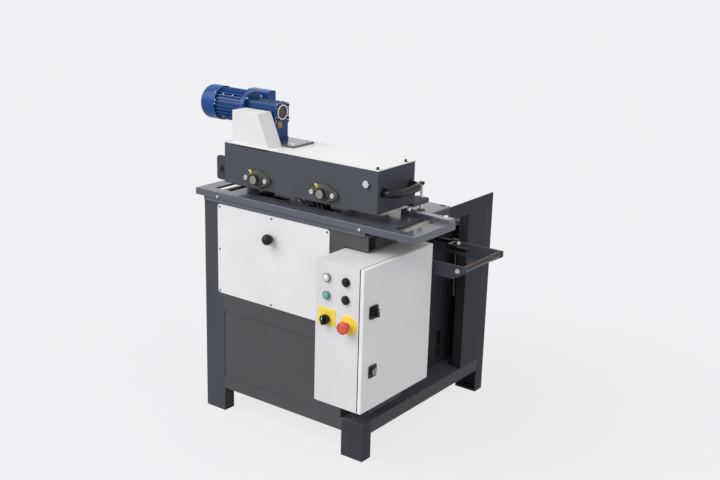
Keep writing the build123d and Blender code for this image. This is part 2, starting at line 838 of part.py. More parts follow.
# Lower front panel, set back a little
with BuildPart() as lower_panel:
    with BuildSketch(front_plane(FRONT + LOWER_INSET)):
        panel((LEFT + LEG_W, INNER_X), (PANEL_Z, MID_Z))
    extrude(amount=-SHEET_T)
lower_panel.part.label = "lower_panel"
export_step(lower_panel.part, "parts/lower_panel.step")

# Access cover bolted over the window
with BuildPart() as access_cover:
    with BuildSketch(front_plane(FRONT)):
        with Locations((COVER_LEFT + COVER_L / 2, COVER_Z + COVER_H / 2)):
            RectangleRounded(COVER_L, COVER_H, COVER_R)
    extrude(amount=COVER_T)
access_cover.part.label = "access_cover"
export_step(access_cover.part, "parts/access_cover.step")

# Ball knob on the access cover
with BuildPart() as access_knob:
    knob_x = COVER_LEFT + COVER_L / 2
    knob_face = FRONT - COVER_T
    rod("y", (knob_x, KNOB_Z), (knob_face - KNOB_NECK_L, knob_face), KNOB_NECK_D)
    with Locations((knob_x, knob_face - KNOB_NECK_L - KNOB_D / 2 + KNOB_SINK, KNOB_Z)):
        Sphere(KNOB_D / 2)
access_knob.part.label = "access_knob"
export_step(access_knob.part, "parts/access_knob.step")

# Left panel with two columns of vents
with BuildPart() as left_panel:
    with BuildSketch(side_plane(LEFT + SIDE_INSET)):
        panel((FRONT + LEG_D, REAR - LEG_D), (PANEL_Z, TOP_RAIL_Z))
        with Locations((0, VENT_Z)):
            with GridLocations(2 * VENT_L, VENT_PITCH, 2, VENT_COUNT):
                SlotOverall(VENT_L, VENT_H, mode=Mode.SUBTRACT)
    extrude(amount=SHEET_T)
left_panel.part.label = "left_panel"
export_step(left_panel.part, "parts/left_panel.step")

# Rear panel with the dust spigot
with BuildPart() as rear_panel:
    rear_face = REAR - REAR_INSET
    with BuildSketch(front_plane(rear_face - SHEET_T)):
        panel((LEFT + LEG_W, RIGHT - LEG_W), (PANEL_Z, REAR_TOP - TOP_RAIL_H))
        with Locations((0, SPIGOT_Z)):
            Circle(SPIGOT_D / 2 - SPIGOT_T, mode=Mode.SUBTRACT)
    extrude(amount=-SHEET_T)
    with BuildSketch(front_plane(rear_face)):
        with Locations((0, SPIGOT_Z)):
            Circle(SPIGOT_D / 2)
            Circle(SPIGOT_D / 2 - SPIGOT_T, mode=Mode.SUBTRACT)
    extrude(amount=-SPIGOT_L)
rear_panel.part.label = "rear_panel"
export_step(rear_panel.part, "parts/rear_panel.step")

# Inner wall between cabinet and side bay, with slots for arms and wires and the crank bearing
with BuildPart() as inner_wall:
    with BuildSketch(side_plane(INNER_X)):
        panel((FRONT, REAR - REAR_INSET - SHEET_T), (PANEL_Z, TOP_RAIL_Z))
    extrude(amount=INNER_T)
    rod("x", CRANK_SPOT, (BOX_X, BOX_X + CRANK_BOSS_L), CRANK_BOSS_D)
    wall_span = (INNER_X, BOX_X)
    for arm in ((ARM_F0, ARM_F1), (ARM_R0, ARM_R1)):
        slab(
            wall_span,
            (arm[0] - ARM_SLOT_GAP, arm[1] + ARM_SLOT_GAP),
            (ARM_LOW - ARM_SLOT_GAP, ARM_SLOT_TOP),
            mode=Mode.SUBTRACT,
        )
    wire_y = FRONT + WIRE_SLOT_Y
    slab(
        wall_span,
        (wire_y - WIRE_SLOT_W / 2, wire_y + WIRE_SLOT_W / 2),
        (WIRE_SLOT_Z, WIRE_SLOT_Z + WIRE_SLOT_H),
        mode=Mode.SUBTRACT,
    )
    slab(wall_span, (REAR - COLUMN_W, REAR), (REAR_TOP, TOP_RAIL_Z), mode=Mode.SUBTRACT)
    rod(
        "x",
        CRANK_SPOT,
        (INNER_X, BOX_X + CRANK_BOSS_L),
        CRANK_SHAFT_D + 2 * RUN,
        mode=Mode.SUBTRACT,
    )
inner_wall.part.label = "inner_wall"
export_step(inner_wall.part, "parts/inner_wall.step")

# Right column: folded sheet beside the side window, with a band along the rear opening
with BuildPart() as right_column:
    with BuildSketch(side_plane(RIGHT - COLUMN_T)):
        panel((REAR - COLUMN_W, REAR - LEG_D), (PANEL_Z, TOP_RAIL_Z))
        panel((DECK_BACK, REAR), (TOP_RAIL_Z, RAIL_TOP))
    extrude(amount=COLUMN_T)
    slab(
        (RIGHT - COLUMN_RETURN, RIGHT - COLUMN_T),
        (REAR - COLUMN_W, REAR - COLUMN_W + COLUMN_T),
        (PANEL_Z, TOP_RAIL_Z),
    )
right_column.part.label = "right_column"
export_step(right_column.part, "parts/right_column.step")

# Deck with the saw opening; the cabinet is open behind it
with BuildPart() as top_deck:
    with BuildSketch(Plane.XY.offset(RAIL_TOP)):
        panel((LEFT, RIGHT), (FRONT, DECK_BACK))
    extrude(amount=DECK_T)
    slab(
        (ARBOR_X - SAW_GATE_L / 2, ARBOR_X + SAW_GATE_L / 2),
        (FRONT + LEG_D, FRONT + LEG_D + DECK_GATE_W),
        (RAIL_TOP, DECK_Z),
        mode=Mode.SUBTRACT,
    )
top_deck.part.label = "top_deck"
export_step(top_deck.part, "parts/top_deck.step")

# Table: plate with turned-down lips, saw opening, roller slots and lugs, fence studs
with BuildPart() as table_top:
    table_span = (TABLE_LEFT, TABLE_RIGHT)
    table_depth = (TABLE_FRONT, TABLE_BACK)
    slab(table_span, table_depth, (TABLE_Z - LIP_H, TABLE_Z))
    fillet(table_top.edges().group_by(Axis.Z)[-1], TABLE_ROUND)
    slab(
        (TABLE_LEFT + LIP_T, TABLE_RIGHT - LIP_T),
        (TABLE_FRONT + LIP_T, TABLE_BACK - LIP_T),
        (TABLE_Z - LIP_H, TABLE_UNDER),
        mode=Mode.SUBTRACT,
    )
    through = (TABLE_UNDER, TABLE_Z)
    slab(
        (ARBOR_X - SAW_GATE_L / 2, ARBOR_X + SAW_GATE_L / 2),
        (TABLE_FRONT + SAW_GATE_EDGE, TABLE_FRONT + SAW_GATE_EDGE + SAW_GATE_W),
        through,
        mode=Mode.SUBTRACT,
    )
    for idler_x, idler_y, idler_l, idler_d, slot_w in IDLERS:
        axle_z = TABLE_Z - idler_d / 2
        lug_x = (idler_x - IDLER_LUG_W / 2, idler_x + IDLER_LUG_W / 2)
        lug_z = (axle_z - IDLER_AXLE_D / 2 - IDLER_LUG_EDGE, TABLE_UNDER)
        front_lug = idler_y - PLAY
        back_lug = idler_y + idler_l + PLAY
        slab(
            (idler_x - slot_w / 2, idler_x + slot_w / 2),
            (front_lug, back_lug),
            through,
            mode=Mode.SUBTRACT,
        )
        slab(lug_x, (front_lug - IDLER_LUG_T, front_lug), lug_z)
        slab(lug_x, (back_lug, back_lug + IDLER_LUG_T), lug_z)
        rod(
            "y",
            (idler_x, axle_z),
            (front_lug - IDLER_LUG_T, back_lug + IDLER_LUG_T),
            IDLER_AXLE_D + 2 * RUN,
            mode=Mode.SUBTRACT,
        )
    for bolt_x in FENCE_BOLTS:
        rod("z", (bolt_x, FENCE_BOLT_Y), (TABLE_UNDER, FENCE_TOP + GAP), FENCE_BOLT_D)
        with BuildSketch(Plane.XY.offset(FENCE_TOP + GAP)):
            with Locations((bolt_x, FENCE_BOLT_Y)):
                RegularPolygon(FENCE_NUT_D / 2, 6)
        extrude(amount=FENCE_NUT_H)
table_top.part.label = "table_top"
export_step(table_top.part, "parts/table_top.step")

# Table rollers
with BuildPart() as table_roller_outfeed:
    table_roller(*IDLERS[0][:4])
table_roller_outfeed.part.label = "table_roller_outfeed"
export_step(table_roller_outfeed.part, "parts/table_roller_outfeed.step")

with BuildPart() as table_roller_infeed:
    table_roller(*IDLERS[1][:4])
table_roller_infeed.part.label = "table_roller_infeed"
export_step(table_roller_infeed.part, "parts/table_roller_infeed.step")

# Fence bar with cross slots over its two studs
with BuildPart() as fence_bar:
    slab(FENCE_X, (TABLE_BACK - FENCE_W, TABLE_BACK), (TABLE_Z + GAP, FENCE_TOP))
    chamfer(fence_bar.edges().group_by(Axis.Z)[-1].filter_by(Axis.X), FENCE_EDGE)
    slot_w = FENCE_BOLT_D + 2 * FENCE_SLOT_GAP
    with BuildSketch(Plane.XY.offset(TABLE_Z + GAP)):
        for bolt_x in FENCE_BOLTS:
            with Locations((bolt_x, FENCE_BOLT_Y + FENCE_TRAVEL / 2)):
                SlotOverall(slot_w + FENCE_TRAVEL, slot_w, rotation=90)
    extrude(amount=FENCE_H, mode=Mode.SUBTRACT)
fence_bar.part.label = "fence_bar"
export_step(fence_bar.part, "parts/fence_bar.step")

# Hinge block of the head on the table, with its pin
with BuildPart() as head_hinge:
    hinge_front = HEAD_FRONT + HINGE_BLOCK_Y
    with BuildSketch(front_plane(hinge_front)):
        panel((PIVOT_X - HINGE_BLOCK_W / 2, PIVOT_X + HINGE_BLOCK_W / 2), (TABLE_Z, PIVOT_Z))
        panel(
            (PIVOT_X - HINGE_FLANGE_L / 2, PIVOT_X + HINGE_FLANGE_L / 2),
            (TABLE_Z, TABLE_Z + HINGE_FLANGE_T),
        )
        with Locations((PIVOT_X, PIVOT_Z)):
            Circle(HINGE_BLOCK_W / 2)
    extrude(amount=-HINGE_BLOCK_D)
    rod(
        "y",
        (PIVOT_X, PIVOT_Z),
        (HEAD_FRONT + EAR_Y - PIN_TAIL, HEAD_BACK - EAR_Y + PIN_TAIL),
        PIVOT_D,
    )
head_hinge.part.label = "head_hinge"
export_step(head_hinge.part, "parts/head_hinge.step")

# Control box: sheet box open towards the door, with button and gland holes and hinge pins
with BuildPart() as enclosure_box:
    slab((BOX_X, BOX_MOUTH), (BOX_Y, BOX_BACK), (BOX_Z, BOX_Z + BOX_H))
    slab(
        (BOX_X + BOX_T, BOX_MOUTH),
        (BOX_Y + BOX_T, BOX_BACK - BOX_T),
        (BOX_Z + BOX_T, BOX_Z + BOX_H - BOX_T),
        mode=Mode.SUBTRACT,
    )
    for spot, seat_y in SOCKETS:
        rod("y", spot, (BOX_Y, BOX_Y + BOX_T), BUTTON_HOLE_D, mode=Mode.SUBTRACT)
    for spot in GLANDS:
        rod("z", spot, (BOX_Z, BOX_Z + BOX_T), CABLE_D, mode=Mode.SUBTRACT)
    for knuckle_z in KNUCKLES:
        slab(
            (BOX_MOUTH - HINGE_LEAF_L, HINGE_X),
            (BOX_BACK, BOX_BACK + HINGE_LEAF_T),
            (knuckle_z, knuckle_z + HINGE_BARREL_L),
        )
        rod("z", (HINGE_X, HINGE_Y), (knuckle_z, knuckle_z + HINGE_BARREL_L), HINGE_BARREL_D)
        rod("z", (HINGE_X, HINGE_Y), (knuckle_z, knuckle_z + 2 * HINGE_BARREL_L), HINGE_PIN_D)
enclosure_box.part.label = "enclosure_box"
export_step(enclosure_box.part, "parts/enclosure_box.step")

# Mounting plate with rows of contactors inside the box
with BuildPart() as switchgear:
    plate_x = BOX_X + BOX_T + DIN_PLATE_STAND
    slab(
        (plate_x, plate_x + DIN_PLATE_T),
        (BOX_Y + DIN_PLATE_EDGE, BOX_BACK - DIN_PLATE_EDGE),
        (BOX_Z + DIN_PLATE_EDGE, BOX_Z + BOX_H - DIN_PLATE_EDGE),
    )
    with BuildSketch(side_plane(plate_x + DIN_PLATE_T)):
        with Locations(((BOX_Y + BOX_BACK) / 2 + CONTACTOR_SHIFT, BOX_Z + BOX_H / 2)):
            with GridLocations(CONTACTOR_PITCH, CONTACTOR_ROW_PITCH, CONTACTOR_COUNT, CONTACTOR_ROWS):
                Rectangle(CONTACTOR_W, CONTACTOR_H)
    extrude(amount=CONTACTOR_D)
    with BuildSketch(side_plane(BOX_X + BOX_T)):
        with Locations(((BOX_Y + BOX_BACK) / 2, BOX_Z + BOX_H / 2)):
            with GridLocations(BOX_W - 3 * DIN_PLATE_EDGE, BOX_H - 3 * DIN_PLATE_EDGE, 2, 2):
                Circle(DIN_POST_D / 2)
    extrude(amount=DIN_PLATE_STAND)
switchgear.part.label = "switchgear"
export_step(switchgear.part, "parts/switchgear.step")

# Legend plates behind the selector and the emergency stop
with BuildPart() as legend_plates:
    with BuildSketch(front_plane(BOX_Y)):
        with Locations((SELECTOR_SPOT[0], SELECTOR_SPOT[1] + LEGEND_UP)):
            RectangleRounded(LEGEND_W, LEGEND_H, LEGEND_R)
        with Locations(SELECTOR_SPOT):
            Circle(BUTTON_HOLE_D / 2, mode=Mode.SUBTRACT)
    extrude(amount=LEGEND_T)
    with BuildSketch(front_plane(BOX_Y)):
        with Locations(ESTOP_SPOT):
            Circle(ESTOP_DISC_D / 2)
            Circle(BUTTON_HOLE_D / 2, mode=Mode.SUBTRACT)
    extrude(amount=ESTOP_DISC_T)
legend_plates.part.label = "legend_plates"
export_step(legend_plates.part, "parts/legend_plates.step")

# Button sockets: rings on the face, barrels through it and contact blocks behind
with BuildPart() as button_sockets:
    for spot, seat_y in SOCKETS:
        button_socket(*spot, seat_y)
button_sockets.part.label = "button_sockets"
export_step(button_sockets.part, "parts/button_sockets.step")

# Push buttons
with BuildPart() as button_white:
    push_button(*WHITE_SPOT)
button_white.part.label = "button_white"
export_step(button_white.part, "parts/button_white.step")

with BuildPart() as button_green:
    push_button(*GREEN_SPOT)
button_green.part.label = "button_green"
export_step(button_green.part, "parts/button_green.step")

with BuildPart() as button_black_upper:
    push_button(*UPPER_SPOT)
button_black_upper.part.label = "button_black_upper"
export_step(button_black_upper.part, "parts/button_black_upper.step")

with BuildPart() as button_black_lower:
    push_button(*LOWER_SPOT)
button_black_lower.part.label = "button_black_lower"
export_step(button_black_lower.part, "parts/button_black_lower.step")

# Selector knob with its finger grip
with BuildPart() as selector_knob:
    knob_back = BOX_Y - LEGEND_T - BEZEL_T - GAP
    grip_span = (knob_back - SELECTOR_T - SELECTOR_GRIP_H, knob_back - SELECTOR_T)
    rod("y", SELECTOR_SPOT, (knob_back - SELECTOR_T, knob_back), SELECTOR_D)
    rod("y", SELECTOR_SPOT, (knob_back, BOX_Y + STEM_L), STEM_D)
    with BuildSketch(front_plane(grip_span[1])):
        with Locations(SELECTOR_SPOT):
            SlotOverall(SELECTOR_GRIP_L, SELECTOR_GRIP_W, rotation=90)
    extrude(amount=SELECTOR_GRIP_H)
selector_knob.part.label = "selector_knob"
export_step(selector_knob.part, "parts/selector_knob.step")

# Emergency stop: mushroom head on its stem
with BuildPart() as estop_head:
    ring_face = BOX_Y - ESTOP_DISC_T - BEZEL_T
    head_back = ring_face - ESTOP_TRAVEL - GAP - ESTOP_RISE
    with BuildSketch(front_plane(head_back)):
        with Locations(ESTOP_SPOT):
            Circle(ESTOP_HEAD_D / 2)
    extrude(amount=ESTOP_HEAD_T)
    fillet(estop_head.edges().sort_by(Axis.Y)[0], ESTOP_ROUND)
    rod("y", ESTOP_SPOT, (head_back, BOX_Y - ESTOP_DISC_T - ESTOP_TRAVEL - GAP), PLUNGER_D)
    rod("y", ESTOP_SPOT, (head_back, BOX_Y + STEM_L - ESTOP_TRAVEL), STEM_D)
estop_head.part.label = "estop_head"
export_step(estop_head.part, "parts/estop_head.step")

# Cable duct and glands under the box and glands on the inner wall
with BuildPart() as cable_glands:
    for spot in GLANDS:
        with BuildSketch(Plane.XY.offset(BOX_Z)):
            with Locations(spot):
                RegularPolygon(GLAND_D / 2, 6)
                Circle(CABLE_D / 2 + RUN, mode=Mode.SUBTRACT)
        extrude(amount=-GLAND_L)
    for exit_y in CABLE_EXITS:
        with BuildSketch(side_plane(BOX_X)):
            with Locations((exit_y, CABLE_Z)):
                RegularPolygon(GLAND_D / 2, 6)
                Circle(CABLE_D / 2 + RUN, mode=Mode.SUBTRACT)
        extrude(amount=GLAND_L)
    slab(
        (BOX_MOUTH - DUCT_EDGE - DUCT_W, BOX_MOUTH - DUCT_EDGE),
        (BOX_Y + DUCT_IN, BOX_Y + DUCT_IN + DUCT_L),
        (BOX_Z - DUCT_H, BOX_Z),
    )
cable_glands.part.label = "cable_glands"
export_step(cable_glands.part, "parts/cable_glands.step")

# Cables from the glands under the box to the glands on the inner wall
with BuildPart() as control_cables:
    for spot, exit_y in zip(GLANDS, CABLE_EXITS):
        corners = [(*spot, BOX_Z), (*spot, CABLE_Z)]
        if exit_y != spot[1]:
            corners.append((spot[0], exit_y, CABLE_Z))
        corners.append((BOX_X, exit_y, CABLE_Z))
        with BuildLine():
            FilletPolyline(*corners, radius=CABLE_BEND)
        with BuildSketch(Plane.XY.offset(BOX_Z)):
            with Locations(spot):
                Circle(CABLE_D / 2)
        sweep()
control_cables.part.label = "control_cables"
export_step(control_cables.part, "parts/control_cables.step")

# Door of the control box: folded tray with hinge knuckles
with BuildPart() as enclosure_door:
    door_y = (BOX_Y, BOX_BACK - DOOR_SIDE)
    slab((DOOR_BACK, DOOR_FACE), door_y, (BOX_Z, BOX_Z + BOX_H))
    fillet(enclosure_door.edges().group_by(Axis.X)[-1], DOOR_ROUND)
    slab(
        (DOOR_BACK, DOOR_FACE - DOOR_SKIN),
        (door_y[0] + DOOR_SKIN, door_y[1] - DOOR_SKIN),
        (BOX_Z + DOOR_SKIN, BOX_Z + BOX_H - DOOR_SKIN),
        mode=Mode.SUBTRACT,
    )
    skin = (DOOR_FACE - DOOR_SKIN, DOOR_FACE)
    rod("x", SWITCH_SPOT, skin, SWITCH_SHAFT_D + 2 * RUN, mode=Mode.SUBTRACT)
    rod("x", LOCK_SPOT, skin, LOCK_SHANK_D + 2 * RUN, mode=Mode.SUBTRACT)
    for knuckle_z in KNUCKLES:
        upper = (knuckle_z + HINGE_BARREL_L + GAP, knuckle_z + 2 * HINGE_BARREL_L)
        slab((DOOR_BACK, HINGE_X), (door_y[1], BOX_BACK + HINGE_LEAF_T), upper)
        rod("z", (HINGE_X, HINGE_Y), upper, HINGE_BARREL_D)
        rod("z", (HINGE_X, HINGE_Y), upper, HINGE_PIN_D + 2 * RUN, mode=Mode.SUBTRACT)
enclosure_door.part.label = "enclosure_door"
export_step(enclosure_door.part, "parts/enclosure_door.step")

# Square plates of the mains switch and the lock on the door
with BuildPart() as switch_plate:
    with BuildSketch(side_plane(DOOR_FACE)):
        with Locations(SWITCH_SPOT):
            RectangleRounded(SWITCH_PLATE, SWITCH_PLATE, SWITCH_PLATE_R)
            Circle(SWITCH_SHAFT_D / 2 + RUN, mode=Mode.SUBTRACT)
    extrude(amount=SWITCH_PLATE_T)
    with BuildSketch(side_plane(DOOR_FACE)):
        with Locations(LOCK_SPOT):
            RectangleRounded(LATCH_PLATE, LATCH_PLATE, LATCH_PLATE_R)
            Circle(LOCK_SHANK_D / 2 + RUN, mode=Mode.SUBTRACT)
    extrude(amount=LATCH_PLATE_T)
switch_plate.part.label = "switch_plate"
export_step(switch_plate.part, "parts/switch_plate.step")

# Mains switch knob with grip and shaft
with BuildPart() as mains_switch:
    knob_base = DOOR_FACE + SWITCH_PLATE_T + GAP
    rod("x", SWITCH_SPOT, (DOOR_BACK + DOOR_SKIN, knob_base), SWITCH_SHAFT_D)
    rod("x", SWITCH_SPOT, (knob_base, knob_base + SWITCH_KNOB_T), SWITCH_KNOB_D)
    with BuildSketch(side_plane(knob_base + SWITCH_KNOB_T)):
        with Locations(SWITCH_SPOT):
            SlotOverall(SWITCH_GRIP_L, SWITCH_GRIP_W, rotation=90)
    extrude(amount=SWITCH_GRIP_T)
mains_switch.part.label = "mains_switch"
export_step(mains_switch.part, "parts/mains_switch.step")

# Door lock: slotted head, shank and cam
with BuildPart() as door_lock:
    lock_base = DOOR_FACE + LATCH_PLATE_T + GAP
    lock_face = lock_base + LOCK_T
    rod("x", LOCK_SPOT, (lock_base, lock_face), LOCK_D)
    rod("x", LOCK_SPOT, (DOOR_BACK + DOOR_SKIN, lock_base), LOCK_SHANK_D)
    with BuildSketch(side_plane(DOOR_BACK + DOOR_SKIN)):
        with Locations((LOCK_SPOT[0] - LOCK_BAR_L / 2 + LOCK_BAR_W / 2, LOCK_SPOT[1])):
            SlotOverall(LOCK_BAR_L, LOCK_BAR_W)
    extrude(amount=LOCK_BAR_T)
    slab(
        (lock_face - LOCK_SLOT, lock_face),
        (LOCK_SPOT[0] - LOCK_SLOT / 2, LOCK_SPOT[0] + LOCK_SLOT / 2),
        (LOCK_SPOT[1] - LOCK_D / 3, LOCK_SPOT[1] + LOCK_D / 3),
        mode=Mode.SUBTRACT,
    )
door_lock.part.label = "door_lock"
export_step(door_lock.part, "parts/door_lock.step")

# Head side plates, the rear one with the stop bracket
with BuildPart() as head_sides:
    for plate_y in (HEAD_FRONT, HEAD_BACK - HEAD_T):
        with BuildSketch(front_plane(plate_y)):
            panel((HEAD_LEFT, HEAD_RIGHT), (HEAD_Z, HEAD_TOP))
            with Locations((FEED_OUT, FEED_Z), (FEED_IN, FEED_Z)):
                Circle(SHAFT_HOLE_D / 2, mode=Mode.SUBTRACT)
            with Locations((FINGER_ROD_X, FINGER_ROD_Z)):
                Circle(FINGER_ROD_D / 2 + RUN, mode=Mode.SUBTRACT)
        extrude(amount=-HEAD_T)
    lug_x = (HEAD_RIGHT - STOP_LUG_W, HEAD_RIGHT)
    lug_z = HEAD_Z - STOP_LUG_T
    slab(lug_x, (HEAD_BACK, HEAD_BACK + STOP_PLATE_T), (lug_z, HEAD_Z + STOP_LUG_H))
    slab(lug_x, (HEAD_BACK, STOP_SCREW_Y + STOP_LUG_END), (lug_z, HEAD_Z))
    rod("z", (STOP_SCREW_X, STOP_SCREW_Y), (lug_z, HEAD_Z), STOP_D + 2 * RUN, mode=Mode.SUBTRACT)
head_sides.part.label = "head_sides"
export_step(head_sides.part, "parts/head_sides.step")

# Head end plates, the outfeed one with the hinge ears
with BuildPart() as head_ends:
    inner_depth = (HEAD_FRONT + HEAD_T, HEAD_BACK - HEAD_T)
    slab((HEAD_LEFT, HEAD_LEFT + HEAD_T), inner_depth, (HEAD_Z, HEAD_TOP))
    slab((HEAD_RIGHT - HEAD_T, HEAD_RIGHT), inner_depth, (HEAD_Z, HEAD_TOP))
    for ear_y in (HEAD_FRONT + EAR_Y, HEAD_BACK - EAR_Y - EAR_T):
        with BuildSketch(front_plane(ear_y)) as ear:
            panel((HEAD_LEFT - EAR_W, HEAD_LEFT), (HEAD_Z + EAR_LOW, HEAD_Z + EAR_LOW + EAR_H))
            fillet(ear.vertices().group_by(Axis.X)[0], EAR_R)
            with Locations((PIVOT_X, PIVOT_Z)):
                Circle(PIVOT_D / 2 + RUN, mode=Mode.SUBTRACT)
        extrude(amount=-EAR_T)
head_ends.part.label = "head_ends"
export_step(head_ends.part, "parts/head_ends.step")

# Head cover with the chain slot
with BuildPart() as head_cover:
    slab(
        (HEAD_LEFT - HEAD_COVER_LAP, HEAD_RIGHT + HEAD_COVER_LAP),
        (HEAD_FRONT - HEAD_COVER_LAP, HEAD_BACK + HEAD_COVER_LAP),
        (HEAD_TOP, COVER_TOP),
    )
    climb = (HEAD_TOP - FEED_Z) / (GEAR_AXIS_Z - FEED_Z)
    chain_x = FEED_OUT + climb * (GEAR_AXIS_X - FEED_OUT)
    chain_reach = SPROCKET_D / 2 + CHAIN_T + CHAIN_ROOM
    chain_y = HEAD_FRONT + DRIVE_CHAIN_Y
    slab(
        (chain_x - chain_reach, chain_x + chain_reach),
        (chain_y - CHAIN_ROOM / 2, chain_y + CHAIN_W + CHAIN_ROOM / 2),
        (HEAD_TOP, COVER_TOP),
        mode=Mode.SUBTRACT,
    )
head_cover.part.label = "head_cover"
export_step(head_cover.part, "parts/head_cover.step")

# Lifting handle of the head: bent tube on two feet
with BuildPart() as head_handle:
    handle_z = HEAD_Z + HANDLE_UP
    ends = (HEAD_FRONT + HANDLE_EDGE, HEAD_FRONT + HANDLE_EDGE + HANDLE_SPAN)
    bow_x = HEAD_RIGHT + HANDLE_REACH
    with BuildLine():
        FilletPolyline(
            (HEAD_RIGHT, ends[0], handle_z),
            (bow_x, ends[0], handle_z),
            (bow_x, ends[1], handle_z),
            (HEAD_RIGHT, ends[1], handle_z),
            radius=HANDLE_BEND,
        )
    with BuildSketch(side_plane(HEAD_RIGHT)):
        with Locations((ends[0], handle_z)):
            Circle(HANDLE_D / 2)
    sweep()
    for end_y in ends:
        rod("x", (end_y, handle_z), (HEAD_RIGHT, HEAD_RIGHT + HANDLE_FOOT_T), HANDLE_FOOT_D)
head_handle.part.label = "head_handle"
export_step(head_handle.part, "parts/head_handle.step")

# Flange bearings of the two feed shafts, with tapered bosses
with BuildPart() as flange_bearings:
    for face_y, way in ((HEAD_FRONT, 1), (HEAD_BACK, -1)):
        for shaft_x in (FEED_OUT, FEED_IN):
            with BuildSketch(front_plane(face_y)):
                with Locations((shaft_x, FEED_Z)):
                    Circle(BEARING_BODY_D / 2)
                    with GridLocations(BEARING_PITCH, 0, 2, 1):
                        Circle(BEARING_EAR_R)
                make_hull()
            extrude(amount=way * BEARING_FLANGE_T)
            with Locations((shaft_x, face_y - way * BEARING_BOSS_L / 2, FEED_Z)):
                Cone(BEARING_NECK_D / 2, BEARING_BOSS_D / 2, BEARING_BOSS_L, rotation=(way * 90, 0, 0))
            with BuildSketch(front_plane(face_y)):
                with Locations((shaft_x, FEED_Z)):
                    Circle(FEED_SHAFT_D / 2 + RUN)
            extrude(amount=way * BEARING_BOSS_L, mode=Mode.SUBTRACT)
flange_bearings.part.label = "flange_bearings"
export_step(flange_bearings.part, "parts/flange_bearings.step")

# Feed rollers
with BuildPart() as feed_roller_outfeed:
    feed_roller(FEED_OUT, (DRIVE_CHAIN_Y, LINK_CHAIN_Y))
feed_roller_outfeed.part.label = "feed_roller_outfeed"
export_step(feed_roller_outfeed.part, "parts/feed_roller_outfeed.step")

with BuildPart() as feed_roller_infeed:
    feed_roller(FEED_IN, (LINK_CHAIN_Y,))
feed_roller_infeed.part.label = "feed_roller_infeed"
export_step(feed_roller_infeed.part, "parts/feed_roller_infeed.step")

# Feed chains, drawn as closed bands: gearbox to outfeed roller, then roller to roller
with BuildPart() as feed_chains:
    chain_in = (SPROCKET_T - CHAIN_W) / 2
    loop_band(
        HEAD_FRONT + DRIVE_CHAIN_Y + chain_in,
        (((GEAR_AXIS_X, GEAR_AXIS_Z), SPROCKET_D), ((FEED_OUT, FEED_Z), SPROCKET_D)),
        CHAIN_T,
        CHAIN_W,
    )
    loop_band(
        HEAD_FRONT + LINK_CHAIN_Y + chain_in,
        (((FEED_OUT, FEED_Z), SPROCKET_D), ((FEED_IN, FEED_Z), SPROCKET_D)),
        CHAIN_T,
        CHAIN_W,
    )
feed_chains.part.label = "feed_chains"
export_step(feed_chains.part, "parts/feed_chains.step")

# Plate under the gearbox
with BuildPart() as gearbox_plate:
    slab(
        (HEAD_LEFT + GEAR_PLATE_X, HEAD_LEFT + GEAR_PLATE_X + GEAR_PLATE_L),
        (GEAR_PLATE_FRONT, GEAR_PLATE_FRONT + GEAR_PLATE_D),
        (COVER_TOP, GEAR_BASE),
    )
gearbox_plate.part.label = "gearbox_plate"
export_step(gearbox_plate.part, "parts/gearbox_plate.step")

# Worm gearbox: feet, wheel case, ribbed worm case on top, bearing cap and motor flange
with BuildPart() as worm_gearbox:
    case_y = (GEAR_FRONT + GEAR_STEP, GEAR_BACK - GEAR_STEP)
    worm_top = WORM_Z + WORM_CASE_H / 2
    slab((GEAR_AXIS_X - GEAR_CASE_L / 2, GEAR_RIGHT), case_y, (GEAR_BASE, WORM_Z))
    fillet(worm_gearbox.edges().filter_by(Axis.Z), GEAR_CASE_R)
    slab(
        (GEAR_AXIS_X - GEAR_FOOT_L / 2, GEAR_AXIS_X + GEAR_FOOT_L / 2),
        (GEAR_FRONT, GEAR_BACK),
        (GEAR_BASE, GEAR_BASE + GEAR_FOOT_T),
    )
    with BuildSketch(side_plane(GEAR_LEFT)):
        with Locations((GEAR_Y, WORM_Z)):
            RectangleRounded(case_y[1] - case_y[0], WORM_CASE_H, GEAR_CASE_R)
    extrude(amount=GEAR_RIGHT - GEAR_LEFT)
    for index in range(GEAR_RIBS):
        rib_x = GEAR_RIGHT - (index + 1) * GEAR_RIB_PITCH
        slab(
            (rib_x, rib_x + GEAR_RIB_T),
            (case_y[0] + GEAR_CASE_R, case_y[1] - GEAR_CASE_R),
            (WORM_Z, worm_top + GEAR_RIB_H),
        )
    rod("y", (GEAR_AXIS_X, GEAR_AXIS_Z), (GEAR_FRONT, GEAR_BACK), WHEEL_D)
    rod("x", (GEAR_Y, WORM_Z), (GEAR_LEFT, GEAR_LEFT + MOTOR_FLANGE_T), MOTOR_FLANGE_D)
    cap_face = GEAR_RIGHT + WORM_CAP_T
    rod("x", (GEAR_Y, WORM_Z), (GEAR_RIGHT, cap_face), WORM_CAP_D)
    rod("x", (GEAR_Y, WORM_Z), (GEAR_RIGHT, cap_face), WORM_CAP_BORE, mode=Mode.SUBTRACT)
    rod(
        "y",
        (GEAR_AXIS_X, GEAR_AXIS_Z),
        (GEAR_FRONT, GEAR_BACK),
        GEAR_SHAFT_D + 2 * RUN,
        mode=Mode.SUBTRACT,
    )
worm_gearbox.part.label = "worm_gearbox"
export_step(worm_gearbox.part, "parts/worm_gearbox.step")

# Gearbox output shaft with its sprocket
with BuildPart() as gearbox_shaft:
    drive_y = HEAD_FRONT + DRIVE_CHAIN_Y
    rod(
        "y",
        (GEAR_AXIS_X, GEAR_AXIS_Z),
        (drive_y - SHAFT_END, GEAR_BACK + SHAFT_END),
        GEAR_SHAFT_D,
    )
    sprocket(GEAR_AXIS_X, GEAR_AXIS_Z, drive_y)
gearbox_shaft.part.label = "gearbox_shaft"
export_step(gearbox_shaft.part, "parts/gearbox_shaft.step")

